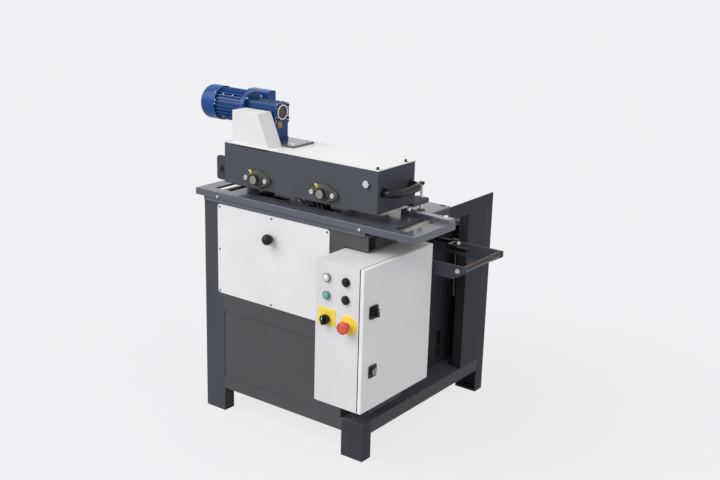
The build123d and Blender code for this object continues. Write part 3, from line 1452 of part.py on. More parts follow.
# Feed motor: flange, finned body and terminal box
with BuildPart() as feed_motor:
    rod("x", (GEAR_Y, WORM_Z), (MOTOR_RIGHT, GEAR_LEFT), MOTOR_FLANGE_D)
    with BuildSketch(side_plane(MOTOR_LEFT)):
        with Locations((GEAR_Y, WORM_Z)):
            Circle(MOTOR_CORE_D / 2)
            with PolarLocations((MOTOR_D - MOTOR_FIN_H - FIN_ROOT) / 2, MOTOR_FINS):
                Rectangle(MOTOR_FIN_H + FIN_ROOT, MOTOR_FIN_T)
    extrude(amount=MOTOR_L)
    terminal_y = GEAR_Y + MOTOR_D / 2 + TERMINAL_GAP
    terminal_z = WORM_Z + TERMINAL_UP - TERMINAL_H / 2
    slab(
        (MOTOR_RIGHT - TERMINAL_GAP - TERMINAL_NECK, MOTOR_RIGHT - TERMINAL_GAP),
        (GEAR_Y, terminal_y),
        (terminal_z - TERMINAL_NECK / 2, terminal_z + TERMINAL_NECK / 2),
    )
    with BuildSketch(side_plane(MOTOR_RIGHT + TERMINAL_OVER - TERMINAL_L)):
        with Locations((terminal_y + TERMINAL_D / 2, terminal_z)):
            RectangleRounded(TERMINAL_D, TERMINAL_H, TERMINAL_R)
    extrude(amount=TERMINAL_L)
feed_motor.part.label = "feed_motor"
export_step(feed_motor.part, "parts/feed_motor.step")

# Fan cowl: rounded sheet cap with air slots in its end
with BuildPart() as fan_cowl:
    cowl_right = MOTOR_LEFT + COWL_LAP
    cowl_left = cowl_right - COWL_L
    rod("x", (GEAR_Y, WORM_Z), (cowl_left, cowl_right), COWL_D)
    fillet(fan_cowl.edges().filter_by(GeomType.CIRCLE).sort_by(Axis.X)[0], COWL_ROUND)
    offset(amount=-COWL_T, openings=fan_cowl.faces().sort_by(Axis.X)[-1])
    with BuildSketch(side_plane(cowl_left)):
        with Locations((GEAR_Y, WORM_Z)):
            with PolarLocations(COWL_SLOT_R, COWL_SLOTS):
                SlotOverall(COWL_SLOT_L, COWL_SLOT_W)
    extrude(amount=2 * COWL_T, mode=Mode.SUBTRACT)
fan_cowl.part.label = "fan_cowl"
export_step(fan_cowl.part, "parts/fan_cowl.step")

# Chain guard: folded cover with a sloping side, open below and towards the gearbox
with BuildPart() as chain_guard:
    guard_left = HEAD_LEFT + GUARD_X
    with BuildSketch(front_plane(HEAD_FRONT + GUARD_Y)):
        with BuildLine():
            Polyline(
                (guard_left, COVER_TOP),
                (guard_left + GUARD_L, COVER_TOP),
                (guard_left + GUARD_TOP_L, COVER_TOP + GUARD_H),
                (guard_left, COVER_TOP + GUARD_H),
                close=True,
            )
        make_face()
    extrude(amount=GUARD_Y - GEAR_PLATE_Y)
    guard_open = [chain_guard.faces().sort_by(Axis.Z)[0], chain_guard.faces().sort_by(Axis.Y)[-1]]
    offset(amount=-GUARD_T, openings=guard_open)
chain_guard.part.label = "chain_guard"
export_step(chain_guard.part, "parts/chain_guard.step")

# Anti-kickback fingers, tied together by a thin rod
with BuildPart() as kickback_fingers:
    for index in range(FINGER_COUNT):
        with BuildSketch(front_plane(FINGER_Y + index * FINGER_PITCH)):
            with Locations((FINGER_ROD_X, FINGER_ROD_Z)):
                Circle(FINGER_EYE_D / 2)
            with BuildLine():
                tip = (FINGER_ROD_X - FINGER_TRAIL, FINGER_ROD_Z - FINGER_REACH)
                Polyline(
                    (FINGER_ROD_X - FINGER_EYE_D / 2, FINGER_ROD_Z),
                    (FINGER_ROD_X + FINGER_EYE_D / 2, FINGER_ROD_Z),
                    (tip[0] + FINGER_TIP_L, tip[1] + FINGER_TIP_H),
                    tip,
                    (tip[0] - FINGER_TIP_H, tip[1] + FINGER_TIP_L),
                    close=True,
                )
            make_face()
            with Locations((FINGER_ROD_X, FINGER_ROD_Z)):
                Circle(FINGER_ROD_D / 2 + RUN, mode=Mode.SUBTRACT)
        extrude(amount=-FINGER_T)
    rod(
        "y",
        (FINGER_ROD_X - FINGER_TRAIL / 3, FINGER_ROD_Z - FINGER_REACH / 3),
        (FINGER_Y, FINGER_Y + (FINGER_COUNT - 1) * FINGER_PITCH + FINGER_T),
        FINGER_TIE_D,
    )
kickback_fingers.part.label = "kickback_fingers"
export_step(kickback_fingers.part, "parts/kickback_fingers.step")

# Rod that carries the fingers, with a hexagon head outside each side plate
with BuildPart() as finger_rod:
    rod("y", (FINGER_ROD_X, FINGER_ROD_Z), (HEAD_FRONT, HEAD_BACK), FINGER_ROD_D)
    for face_y, way in ((HEAD_FRONT, 1), (HEAD_BACK, -1)):
        with BuildSketch(front_plane(face_y)):
            with Locations((FINGER_ROD_X, FINGER_ROD_Z)):
                RegularPolygon(FINGER_HEAD_D / 2, 6)
        extrude(amount=way * FINGER_HEAD_T)
finger_rod.part.label = "finger_rod"
export_step(finger_rod.part, "parts/finger_rod.step")

# Height stop: screw with a cross bar, standing on the pad
with BuildPart() as stop_screw:
    spot = (STOP_SCREW_X, STOP_SCREW_Y)
    stop_top = HEAD_Z + STOP_TOP_UP
    rod("z", spot, (DECK_Z + STOP_PAD_H + GAP, stop_top), STOP_D)
    with BuildSketch(Plane.XY.offset(stop_top)):
        with Locations(spot):
            RegularPolygon(STOP_HEAD_D / 2, 6)
    extrude(amount=-STOP_HEAD_H)
stop_screw.part.label = "stop_screw"
export_step(stop_screw.part, "parts/stop_screw.step")

# Pivot blocks of the saw frame on their beam
with BuildPart() as pivot_blocks:
    for block_y in (ARM_F0 - PILLOW_SIDE - PILLOW_D, ARM_R1 + PILLOW_SIDE):
        with BuildSketch(front_plane(block_y)):
            panel((SWING_AXIS_X - PILLOW_R, SWING_AXIS_X + PILLOW_R), (SWING_Z - PILLOW_UP, SWING_Z))
            with Locations((SWING_AXIS_X, SWING_Z)):
                Circle(PILLOW_R)
                Circle(SWING_SHAFT_D / 2 + RUN, mode=Mode.SUBTRACT)
        extrude(amount=-PILLOW_D)
pivot_blocks.part.label = "pivot_blocks"
export_step(pivot_blocks.part, "parts/pivot_blocks.step")

# Saw frame: two arms with cheeks for arbor and motor, joined by the motor and lock plates
with BuildPart() as swing_frame:
    for arm_y in (ARM_F0, ARM_R0):
        with BuildSketch(front_plane(arm_y)):
            with BuildLine():
                Polyline(
                    (SWING_AXIS_X, ARM_LOW),
                    (ARM_TIP - ARM_CHAMFER_L, ARM_LOW),
                    (ARM_TIP, ARM_LOW + ARM_CHAMFER_H),
                    (ARM_TIP, ARM_TOP),
                    (SWING_AXIS_X, ARM_TOP),
                    close=True,
                )
            make_face()
            with Locations((SWING_AXIS_X, SWING_Z)):
                Circle(SWING_EYE_D / 2)
            with BuildLine():
                Polyline(
                    (ARBOR_X - CHEEK_W / 2, ARM_TOP),
                    (ARBOR_X + CHEEK_W / 2, ARM_TOP),
                    (ARBOR_X + CHEEK_R, ARBOR_Z),
                    (ARBOR_X - CHEEK_R, ARBOR_Z),
                    close=True,
                )
            make_face()
            panel(MOTOR_PLATE_X, (MOTOR_PLATE_Z, ARM_LOW))
            with Locations((ARBOR_X, ARBOR_Z)):
                Circle(CHEEK_R)
                Circle(CARTRIDGE_D / 2 + RUN, mode=Mode.SUBTRACT)
        extrude(amount=-ARM_T)
    arm_gap = (ARM_F1, ARM_R0)
    slab(MOTOR_PLATE_X, arm_gap, (MOTOR_PLATE_Z, MOTOR_PLATE_Z + MOTOR_PLATE_T))
    slab(
        (LOCK_PLATE_X - LOCK_PLATE_T, LOCK_PLATE_X),
        arm_gap,
        (SWING_Z - LOCK_PLATE_DOWN, SWING_Z + LOCK_PLATE_UP),
    )
    stub = PILLOW_SIDE + PILLOW_D
    rod("y", (SWING_AXIS_X, SWING_Z), (ARM_F0 - stub, ARM_F0), SWING_SHAFT_D)
    rod("y", (SWING_AXIS_X, SWING_Z), (ARM_R1, ARM_R1 + stub), SWING_SHAFT_D)
swing_frame.part.label = "swing_frame"
export_step(swing_frame.part, "parts/swing_frame.step")

# Lift bar between the arm ends
with BuildPart() as lift_bar:
    rod("y", (LIFT_BAR_X, LIFT_BAR_Z), (ARM_F1, ARM_R0), LIFT_BAR_D)
lift_bar.part.label = "lift_bar"
export_step(lift_bar.part, "parts/lift_bar.step")

# Arbor housing in the cheeks
with BuildPart() as arbor_housing:
    housing_span = (FRONT + CARTRIDGE_FRONT, FRONT + CARTRIDGE_REAR)
    rod("y", (ARBOR_X, ARBOR_Z), housing_span, CARTRIDGE_D)
    rod("y", (ARBOR_X, ARBOR_Z), housing_span, ARBOR_D + 2 * RUN, mode=Mode.SUBTRACT)
arbor_housing.part.label = "arbor_housing"
export_step(arbor_housing.part, "parts/arbor_housing.step")

# Saw arbor with collars, spacers, nut and pulley
with BuildPart() as saw_arbor:
    nut_front = STACK_FRONT - COLLAR_T - ARBOR_NUT_T
    rod("y", (ARBOR_X, ARBOR_Z), (nut_front - ARBOR_TAIL, PULLEY_Y + PULLEY_W), ARBOR_D)
    rod("y", (ARBOR_X, ARBOR_Z), (STACK_BACK, STACK_BACK + COLLAR_T), COLLAR_D)
    rod("y", (ARBOR_X, ARBOR_Z), (STACK_FRONT - COLLAR_T, STACK_FRONT), COLLAR_D)
    with BuildSketch(front_plane(nut_front)):
        with Locations((ARBOR_X, ARBOR_Z)):
            RegularPolygon(ARBOR_NUT_D / 2, 6)
    extrude(amount=-ARBOR_NUT_T)
    for behind, ahead in zip(BLADE_PLACES[:-1], BLADE_PLACES[1:]):
        rod("y", (ARBOR_X, ARBOR_Z), (ahead + BLADE_T / 2, behind - BLADE_T / 2), SPACER_D)
    grooved_pulley(ARBOR_X, ARBOR_Z, ARBOR_PULLEY_D, PULLEY_Y)
saw_arbor.part.label = "saw_arbor"
export_step(saw_arbor.part, "parts/saw_arbor.step")

# Saw blades with hooked teeth
with BuildPart() as saw_blades:
    tip_r = BLADE_D / 2
    step = 360 / BLADE_TEETH
    outline = []
    for index in range(BLADE_TEETH):
        for turn, radius in ((0.0, tip_r), (0.06, tip_r - TOOTH_H), (0.3, tip_r - 1.4 * TOOTH_H)):
            angle = radians(index * step + turn * step)
            outline.append((ARBOR_X + radius * cos(angle), ARBOR_Z + radius * sin(angle)))
    for blade_y in BLADE_PLACES:
        with BuildSketch(front_plane(blade_y - BLADE_T / 2)):
            with BuildLine():
                Polyline(*outline, close=True)
            make_face()
            with Locations((ARBOR_X, ARBOR_Z)):
                Circle(ARBOR_D / 2 + RUN, mode=Mode.SUBTRACT)
        extrude(amount=-BLADE_T)
saw_blades.part.label = "saw_blades"
export_step(saw_blades.part, "parts/saw_blades.step")

# Saw motor hung under the motor plate
with BuildPart() as saw_motor:
    core_d = SAW_MOTOR_D - 2 * SAW_MOTOR_FIN_H
    with BuildSketch(front_plane(SAW_MOTOR_SPAN[0])):
        with Locations((SAW_MOTOR_AXIS_X, SAW_MOTOR_Z)):
            Circle(core_d / 2)
            with PolarLocations((core_d + SAW_MOTOR_FIN_H - FIN_ROOT) / 2, SAW_MOTOR_FINS):
                Rectangle(SAW_MOTOR_FIN_H + FIN_ROOT, SAW_MOTOR_FIN_T)
    extrude(amount=-SAW_MOTOR_L)
    slab(
        (SAW_MOTOR_AXIS_X - SAW_MOTOR_FOOT_W / 2, SAW_MOTOR_AXIS_X + SAW_MOTOR_FOOT_W / 2),
        SAW_MOTOR_SPAN,
        (MOTOR_PLATE_Z - SAW_MOTOR_FOOT_T, MOTOR_PLATE_Z),
    )
    rod(
        "y",
        (SAW_MOTOR_AXIS_X, SAW_MOTOR_Z),
        (SAW_MOTOR_SPAN[1] - SAW_MOTOR_SEAT, SAW_MOTOR_SPAN[1]),
        SAW_MOTOR_SHAFT_D + 2 * RUN,
        mode=Mode.SUBTRACT,
    )
saw_motor.part.label = "saw_motor"
export_step(saw_motor.part, "parts/saw_motor.step")

# Motor pulley on its shaft
with BuildPart() as motor_pulley:
    rod(
        "y",
        (SAW_MOTOR_AXIS_X, SAW_MOTOR_Z),
        (SAW_MOTOR_SPAN[1] - SAW_MOTOR_SEAT + PLAY, PULLEY_Y + PULLEY_W),
        SAW_MOTOR_SHAFT_D,
    )
    grooved_pulley(SAW_MOTOR_AXIS_X, SAW_MOTOR_Z, MOTOR_PULLEY_D, PULLEY_Y)
motor_pulley.part.label = "motor_pulley"
export_step(motor_pulley.part, "parts/motor_pulley.step")

# Drive belts from motor pulley to arbor pulley
with BuildPart() as drive_belts:
    for index in range(BELT_COUNT):
        loop_band(
            PULLEY_Y + belt_place(index),
            (
                ((ARBOR_X, ARBOR_Z), groove_d(ARBOR_PULLEY_D)),
                ((SAW_MOTOR_AXIS_X, SAW_MOTOR_Z), groove_d(MOTOR_PULLEY_D)),
            ),
            BELT_T,
            BELT_W,
        )
drive_belts.part.label = "drive_belts"
export_step(drive_belts.part, "parts/drive_belts.step")

# Lock crank: screw through the wall bearing, hub, arm, grip and a thin lever hanging from the hub
with BuildPart() as lock_crank:
    rod("x", CRANK_SPOT, (LOCK_PLATE_X + CRANK_TIP_GAP, HUB_X), CRANK_SHAFT_D)
    rod("x", CRANK_SPOT, (HUB_X, HUB_X + CRANK_HUB_L), CRANK_HUB_D)
    arm_face = HUB_X + CRANK_HUB_L - CRANK_ARM_T
    with BuildSketch(side_plane(arm_face)):
        with Locations((CRANK_SPOT[0] - CRANK_R / 2, CRANK_Z)):
            SlotCenterToCenter(CRANK_R, CRANK_ARM_W)
    extrude(amount=CRANK_ARM_T)
    grip_spot = (CRANK_SPOT[0] - CRANK_R, CRANK_Z)
    grip_start = HUB_X + CRANK_HUB_L
    rod("x", grip_spot, (grip_start, grip_start + CRANK_GRIP_L), CRANK_GRIP_D)
    fillet(lock_crank.edges().filter_by(GeomType.CIRCLE).sort_by(Axis.X)[-1], CRANK_ROUND)
    lever_spot = (HUB_X + CRANK_HUB_L / 2, CRANK_SPOT[0])
    rod("z", lever_spot, (CRANK_Z - LEVER_L, CRANK_Z), LEVER_D)
    rod("z", lever_spot, (CRANK_Z - LEVER_L, CRANK_Z - LEVER_L + LEVER_END_L), LEVER_END_D)
lock_crank.part.label = "lock_crank"
export_step(lock_crank.part, "parts/lock_crank.step")
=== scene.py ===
"""Looks of the multi-rip saw: finishes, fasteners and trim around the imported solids. Metres."""
from math import cos, pi, radians, sin, tau

import bmesh
import bpy
from mathutils import Matrix, Vector
from mathutils.bvhtree import BVHTree


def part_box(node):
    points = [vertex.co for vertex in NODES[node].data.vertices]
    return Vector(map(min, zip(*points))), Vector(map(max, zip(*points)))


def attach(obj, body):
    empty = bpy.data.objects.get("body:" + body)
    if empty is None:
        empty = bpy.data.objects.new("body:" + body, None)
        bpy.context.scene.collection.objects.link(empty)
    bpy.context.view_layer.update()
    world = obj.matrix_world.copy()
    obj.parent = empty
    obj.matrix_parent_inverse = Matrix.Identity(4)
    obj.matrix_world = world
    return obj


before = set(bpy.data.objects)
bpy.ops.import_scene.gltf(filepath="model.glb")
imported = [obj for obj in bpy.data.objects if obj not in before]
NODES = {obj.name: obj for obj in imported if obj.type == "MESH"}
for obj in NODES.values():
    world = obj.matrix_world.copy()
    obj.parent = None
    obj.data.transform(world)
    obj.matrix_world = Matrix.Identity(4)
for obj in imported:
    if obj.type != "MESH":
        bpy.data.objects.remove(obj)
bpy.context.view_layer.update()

MM = 0.001
LEFTWARD = Vector((-1, 0, 0))
RIGHTWARD = Vector((1, 0, 0))
FORWARD = Vector((0, -1, 0))
BACKWARD = Vector((0, 1, 0))
UPWARD = Vector((0, 0, 1))

# Camera: fitted to the feet, table, head and control box in the photograph
CAMERA_PLACE = (2.3976, -3.2207, 1.8601)
CAMERA_YAW = 0.6319
CAMERA_PITCH = 0.2921
CAMERA_ROLL = 0.0278
CAMERA_LENS = 54.5
CAMERA_SENSOR = 36
CAMERA_FAR = 200

# Studio: colours are linear
BACKDROP = (0.863, 0.871, 0.895, 1)
AMBIENT = 0.60
AMBIENT_COLOUR = (1, 1, 1, 1)
KEY_STRENGTH = 2.2
KEY_FROM = (-0.42, -0.62, 0.66)
KEY_SPREAD = 55
FILL_STRENGTH = 0.42
FILL_FROM = (0.85, -0.25, 0.45)
FILL_SPREAD = 70
FLOOR_SIZE = 60
FLOOR_COLOUR = (0.40, 0.405, 0.47, 1)
FLOOR_ROUGH = 0.9
FLOOR_SPECULAR = 0.1
FLOOR_GLOW = (0.982, 0.992, 1.0, 1)
FLOOR_GLOW_SHARE = 0.78


def place_camera():
    """Puts the camera where the photograph was taken from."""
    forward = Vector((
        -sin(CAMERA_YAW) * cos(CAMERA_PITCH),
        cos(CAMERA_YAW) * cos(CAMERA_PITCH),
        -sin(CAMERA_PITCH),
    ))
    right = Vector((cos(CAMERA_YAW), sin(CAMERA_YAW), 0))
    up = right.cross(forward)
    tilt_right = right * cos(CAMERA_ROLL) + up * sin(CAMERA_ROLL)
    tilt_up = up * cos(CAMERA_ROLL) - right * sin(CAMERA_ROLL)
    lens = bpy.data.cameras.new("camera")
    lens.lens = CAMERA_LENS
    lens.sensor_width = CAMERA_SENSOR
    lens.clip_end = CAMERA_FAR
    camera = bpy.data.objects.new("camera", lens)
    turn = Matrix((tilt_right, tilt_up, -forward)).transposed()
    camera.matrix_world = Matrix.Translation(CAMERA_PLACE) @ turn.to_4x4()
    bpy.context.scene.collection.objects.link(camera)
    bpy.context.scene.camera = camera


def sun(name, came_from, strength, spread_angle):
    """Adds a soft lamp that shines from the direction given."""
    lamp = bpy.data.lights.new(name, "SUN")
    lamp.energy = strength
    lamp.angle = radians(spread_angle)
    holder = bpy.data.objects.new(name, lamp)
    holder.rotation_euler = Vector(came_from).to_track_quat("Z", "Y").to_euler()
    bpy.context.scene.collection.objects.link(holder)


def seen_directly(tree):
    """Value of 1 for camera, glossy and transmission rays, which see the backdrop's own colour."""
    path = tree.nodes.new("ShaderNodeLightPath")
    total = path.outputs["Is Camera Ray"]
    for ray in ("Is Glossy Ray", "Is Transmission Ray"):
        total = maths(tree, "MAXIMUM", total, path.outputs[ray])
    return total


def show_mix(tree, share, first, second, output):
    """Mixes two shaders by a share and shows the mix as an output's surface."""
    made = tree.nodes.new("ShaderNodeMixShader")
    tree.links.new(share, made.inputs["Fac"])
    tree.links.new(first, made.inputs[1])
    tree.links.new(second, made.inputs[2])
    tree.links.new(made.outputs["Shader"], tree.nodes[output].inputs["Surface"])


def light_studio():
    """Soft even light with a pale backdrop."""
    world = bpy.data.worlds.new("studio")
    world.use_nodes = True
    tree = world.node_tree
    shown = tree.nodes["Background"]
    shown.inputs["Color"].default_value = BACKDROP
    glow = tree.nodes.new("ShaderNodeBackground")
    glow.inputs["Color"].default_value = AMBIENT_COLOUR
    glow.inputs["Strength"].default_value = AMBIENT
    lit_by = glow.outputs["Background"]
    show_mix(tree, seen_directly(tree), lit_by, shown.outputs["Background"], "World Output")
    bpy.context.scene.world = world
    sun("key", KEY_FROM, KEY_STRENGTH, KEY_SPREAD)
    sun("fill", FILL_FROM, FILL_STRENGTH, FILL_SPREAD)


def lay_floor():
    """Pale floor that shows the backdrop's colour and keeps part of the shadow."""
    mesh = bpy.data.meshes.new("floor")
    half = FLOOR_SIZE / 2
    corners = [(-half, -half, 0), (half, -half, 0), (half, half, 0), (-half, half, 0)]
    mesh.from_pydata(corners, [], [(0, 1, 2, 3)])
    floor = bpy.data.objects.new("floor", mesh)
    bpy.context.scene.collection.objects.link(floor)
    material, tree, shader = start("pale_floor")
    shader.inputs["Base Color"].default_value = FLOOR_COLOUR
    shader.inputs["Roughness"].default_value = FLOOR_ROUGH
    shader.inputs["Specular IOR Level"].default_value = FLOOR_SPECULAR
    glow = tree.nodes.new("ShaderNodeEmission")
    glow.inputs["Color"].default_value = FLOOR_GLOW
    share = maths(tree, "MULTIPLY", seen_directly(tree), FLOOR_GLOW_SHARE)
    show_mix(tree, share, shader.outputs["BSDF"], glow.outputs["Emission"], "Material Output")
    mesh.materials.append(material)


# Sockets of a colour mix: first and second colour, and the result
MIX_FIRST = 6
MIX_SECOND = 7
MIX_RESULT = 2


# Small helpers for node trees
def feed(tree, socket, value):
    """Links a socket to another's output, or sets it to a plain value."""
    if isinstance(value, bpy.types.NodeSocket):
        tree.links.new(value, socket)
    else:
        socket.default_value = value


def maths(tree, operation, first, second=0.0, clamp=False):
    """Adds a math node and returns its output."""
    made = tree.nodes.new("ShaderNodeMath")
    made.operation = operation
    made.use_clamp = clamp
    feed(tree, made.inputs[0], first)
    feed(tree, made.inputs[1], second)
    return made.outputs[0]


def mix(tree, share, first, second):
    """Adds a colour mix and returns its output."""
    made = tree.nodes.new("ShaderNodeMix")
    made.data_type = "RGBA"
    feed(tree, made.inputs[0], share)
    feed(tree, made.inputs[MIX_FIRST], first)
    feed(tree, made.inputs[MIX_SECOND], second)
    return made.outputs[MIX_RESULT]


def spread(tree, value, low, high):
    """Maps a value's range to 0 to 1, held at its ends."""
    made = tree.nodes.new("ShaderNodeMapRange")
    feed(tree, made.inputs["Value"], value)
    made.inputs["From Min"].default_value = low
    made.inputs["From Max"].default_value = high
    return made.outputs["Result"]


def place_vector(tree, stretch=(1, 1, 1)):
    """Position on the object, stretched along its axes."""
    spot = tree.nodes.new("ShaderNodeTexCoord")
    scaled = tree.nodes.new("ShaderNodeMapping")
    scaled.inputs["Scale"].default_value = stretch
    tree.links.new(spot.outputs["Object"], scaled.inputs["Vector"])
    return scaled.outputs["Vector"]


def axes(tree, vector):
    """The X, Y and Z outputs of a vector."""
    parts = tree.nodes.new("ShaderNodeSeparateXYZ")
    tree.links.new(vector, parts.inputs["Vector"])
    return parts.outputs


def noise(tree, vector, scale, detail, rough=0.55):
    """Adds a noise texture and returns its value."""
    made = tree.nodes.new("ShaderNodeTexNoise")
    tree.links.new(vector, made.inputs["Vector"])
    feed(tree, made.inputs["Scale"], scale)
    made.inputs["Detail"].default_value = detail
    made.inputs["Roughness"].default_value = rough
    return made.outputs["Fac"]


def group(name, inputs, outputs):
    """Starts a shader node group; returns it with its input and output nodes."""
    tree = bpy.data.node_groups.new(name, "ShaderNodeTree")
    for label, value in inputs.items():
        socket = tree.interface.new_socket(label, in_out="INPUT", socket_type="NodeSocketFloat")
        socket.default_value = value
    for label, kind in outputs.items():
        tree.interface.new_socket(label, in_out="OUTPUT", socket_type=kind)
    return tree, tree.nodes.new("NodeGroupInput"), tree.nodes.new("NodeGroupOutput")


# Shared effects: scales of the noise, and the ranges that turn a value into a mask
CLOUD_SCALE = 5.0
GRAIN_SCALE = 400.0
RUN_SCALE = 38.0
RUN_STRETCH = (1, 1, 0.08)
EDGE_RADIUS = 0.0015
EDGE_SAMPLES = 4
EDGE_RANGE = (0.995, 0.86)
WEAR_SCALE = 60.0
WEAR_RANGE = (0.42, 0.62)
DUST_SCALE = 14.0
DUST_TILT = (0.55, 0.95)
DUST_RANGE = (0.38, 0.75)
SCRATCH_SCALE = 700.0
SCRATCH_STRETCH = 0.02


def make_mottle():
    """Cloudy tone, fine grain and vertical runs, each from 0 to 1."""
    floats = {"Cloud": "NodeSocketFloat", "Grain": "NodeSocketFloat", "Runs": "NodeSocketFloat"}
    scales = {"Cloud Scale": CLOUD_SCALE, "Grain Scale": GRAIN_SCALE}
    tree, inside, outside = group("mottle", scales, floats)
    spot = place_vector(tree)
    tall = place_vector(tree, RUN_STRETCH)
    cloud = noise(tree, spot, inside.outputs["Cloud Scale"], detail=4.0)
    grain = noise(tree, spot, inside.outputs["Grain Scale"], detail=2.0)
    runs = noise(tree, tall, RUN_SCALE, detail=3.0, rough=0.6)
    tree.links.new(cloud, outside.inputs["Cloud"])
    tree.links.new(grain, outside.inputs["Grain"])
    tree.links.new(runs, outside.inputs["Runs"])
    return tree


def make_edges():
    """Mask of worn edges and the normal of a slightly rounded edge."""
    sockets = {"Mask": "NodeSocketFloat", "Normal": "NodeSocketVector"}
    tree, inside, outside = group("edges", {"Radius": EDGE_RADIUS, "Break Up": WEAR_SCALE}, sockets)
    bevel = tree.nodes.new("ShaderNodeBevel")
    bevel.samples = EDGE_SAMPLES
    tree.links.new(inside.outputs["Radius"], bevel.inputs["Radius"])
    flat = tree.nodes.new("ShaderNodeNewGeometry")
    dot = tree.nodes.new("ShaderNodeVectorMath")
    dot.operation = "DOT_PRODUCT"
    tree.links.new(bevel.outputs["Normal"], dot.inputs[0])
    tree.links.new(flat.outputs["Normal"], dot.inputs[1])
    edge = spread(tree, dot.outputs["Value"], *EDGE_RANGE)
    patches = noise(tree, place_vector(tree), inside.outputs["Break Up"], detail=4.0, rough=0.65)
    worn = maths(tree, "MULTIPLY", edge, spread(tree, patches, *WEAR_RANGE))
    tree.links.new(worn, outside.inputs["Mask"])
    tree.links.new(bevel.outputs["Normal"], outside.inputs["Normal"])
    return tree


def make_dust():
    """Mask of dust that settles on faces that look up."""
    tree, inside, outside = group("dust", {"Scale": DUST_SCALE}, {"Mask": "NodeSocketFloat"})
    flat = tree.nodes.new("ShaderNodeNewGeometry")
    facing = spread(tree, axes(tree, flat.outputs["Normal"])["Z"], *DUST_TILT)
    patches = noise(tree, place_vector(tree), inside.outputs["Scale"], detail=5.0, rough=0.6)
    settled = maths(tree, "MULTIPLY", facing, spread(tree, patches, *DUST_RANGE))
    tree.links.new(settled, outside.inputs["Mask"])
    return tree


def make_scratches():
    """Fine directional lines, from 0 to 1, that run along one axis."""
    labels = ("Along X", "Along Y", "Along Z")
    floats = {label: "NodeSocketFloat" for label in labels}
    tree, inside, outside = group("scratches", {"Scale": SCRATCH_SCALE}, floats)
    for axis, label in enumerate(labels):
        stretch = [1, 1, 1]
        stretch[axis] = SCRATCH_STRETCH
        lines = noise(tree, place_vector(tree, stretch), inside.outputs["Scale"], detail=2.0, rough=0.5)
        tree.links.new(lines, outside.inputs[label])
    return tree


MOTTLE = make_mottle()
EDGES = make_edges()
DUST = make_dust()
SCRATCHES = make_scratches()


def use(tree, made_group, **values):
    """Places a node group in a material with its own values."""
    placed = tree.nodes.new("ShaderNodeGroup")
    placed.node_tree = made_group
    for label, value in values.items():
        placed.inputs[label.replace("_", " ")].default_value = value
    return placed


def start(name):
    """Starts a material; returns it with its tree and shader."""
    material = bpy.data.materials.new(name)
    material.use_nodes = True
    return material, material.node_tree, material.node_tree.nodes["Principled BSDF"]


def bump(tree, height, strength, distance, normal):
    """Adds a bump over another normal and returns the new normal."""
    made = tree.nodes.new("ShaderNodeBump")
    made.inputs["Strength"].default_value = strength
    made.inputs["Distance"].default_value = distance
    feed(tree, made.inputs["Height"], height)
    tree.links.new(normal, made.inputs["Normal"])
    return made.outputs["Normal"]


def tint(colour, amount):
    """The colour made lighter or darker."""
    return (*(channel * amount for channel in colour), 1)


def cloudy(tree, share, colour, tones):
    """The colour between a darker and a lighter tone, by a share."""
    return mix(tree, share, tint(colour, tones[0]), tint(colour, tones[1]))


def lay_over(tree, tone, mask, strength, colour):
    """The tone with another colour over it where a mask says."""
    return mix(tree, maths(tree, "MULTIPLY", mask, strength), tone, colour)


def uneven(tree, value, swing, rough, clamp=False):
    """Roughness that swings about its middle with a value."""
    return maths(tree, "ADD", maths(tree, "MULTIPLY", value, swing), rough - swing / 2, clamp)


def connect(tree, shader, tone, gloss, skin):
    """Gives the shader its colour, roughness and normal."""
    tree.links.new(tone, shader.inputs["Base Color"])
    tree.links.new(gloss, shader.inputs["Roughness"])
    tree.links.new(skin, shader.inputs["Normal"])


# Colours of the finishes, linear
GRAPHITE = (0.078, 0.082, 0.098)
GRAPHITE_PANEL = (0.083, 0.083, 0.087)
# Painted highlight: a lighter graphite for the trim under the table's front lip, standing in for light along
# the lip's lower edge
GRAPHITE_LIT_EDGE = (0.125, 0.130, 0.150)
# Painted shade: a darker copy of the graphite for the head's end plates, whose faces turn away from the key
# lamp
GRAPHITE_SIDE_SHADE = (0.062, 0.067, 0.082)
# Painted shade: a much darker copy of the graphite for the inner wall and right column, standing in for the
# shade inside the right-hand bay
GRAPHITE_BAY_SHADE = (0.037, 0.038, 0.044)
# Painted shade: the legs darkened below the panels' graphite, as shade on the lower frame
GRAPHITE_LEG_SHADE = (0.046, 0.047, 0.055)
GRAPHITE_GLOSS = (0.066, 0.069, 0.084)
GRAPHITE_TABLE = (0.073, 0.078, 0.104)
# Painted light: a lighter tone on the front face of the left front leg, where the key lamp from the left
# falls
LEG_FRONT_LIT = (0.067, 0.070, 0.083)
BARE_STEEL = (0.30, 0.30, 0.31)
PALE_DUST = (0.46, 0.42, 0.34)
COVER_WHITE = (0.785, 0.78, 0.775)
BOX_GREY = (0.71, 0.705, 0.695)
# Painted light: a lighter copy of the box's grey for the door, brightening its side, which turns away from
# the key lamp
DOOR_GREY_LIT = (0.84, 0.835, 0.82)
COWL_BLUE = (0.004, 0.060, 0.245)
MOTOR_BLUE = (0.004, 0.060, 0.240)
GEAR_BLUE = (0.003, 0.042, 0.160)
CONTACTOR_GREY = (0.040, 0.041, 0.044)
GALVANISED = (0.42, 0.43, 0.44)
BAR_BROWN = (0.030, 0.023, 0.018)
SATIN_BLACK = (0.008, 0.008, 0.009)
DULL_BLACK = (0.010, 0.010, 0.011)
YELLOW = (0.92, 0.69, 0.055)
BUTTON_WHITE = (0.80, 0.79, 0.80)
BUTTON_GREEN = (0.10, 0.42, 0.37)
STOP_RED = (0.66, 0.085, 0.045)
OLIVE_IRON = (0.064, 0.070, 0.050)
ZINC = (0.74, 0.74, 0.75)
GREY_CHROME = (0.30, 0.31, 0.33)
TURNED_STEEL = (0.33, 0.315, 0.295)
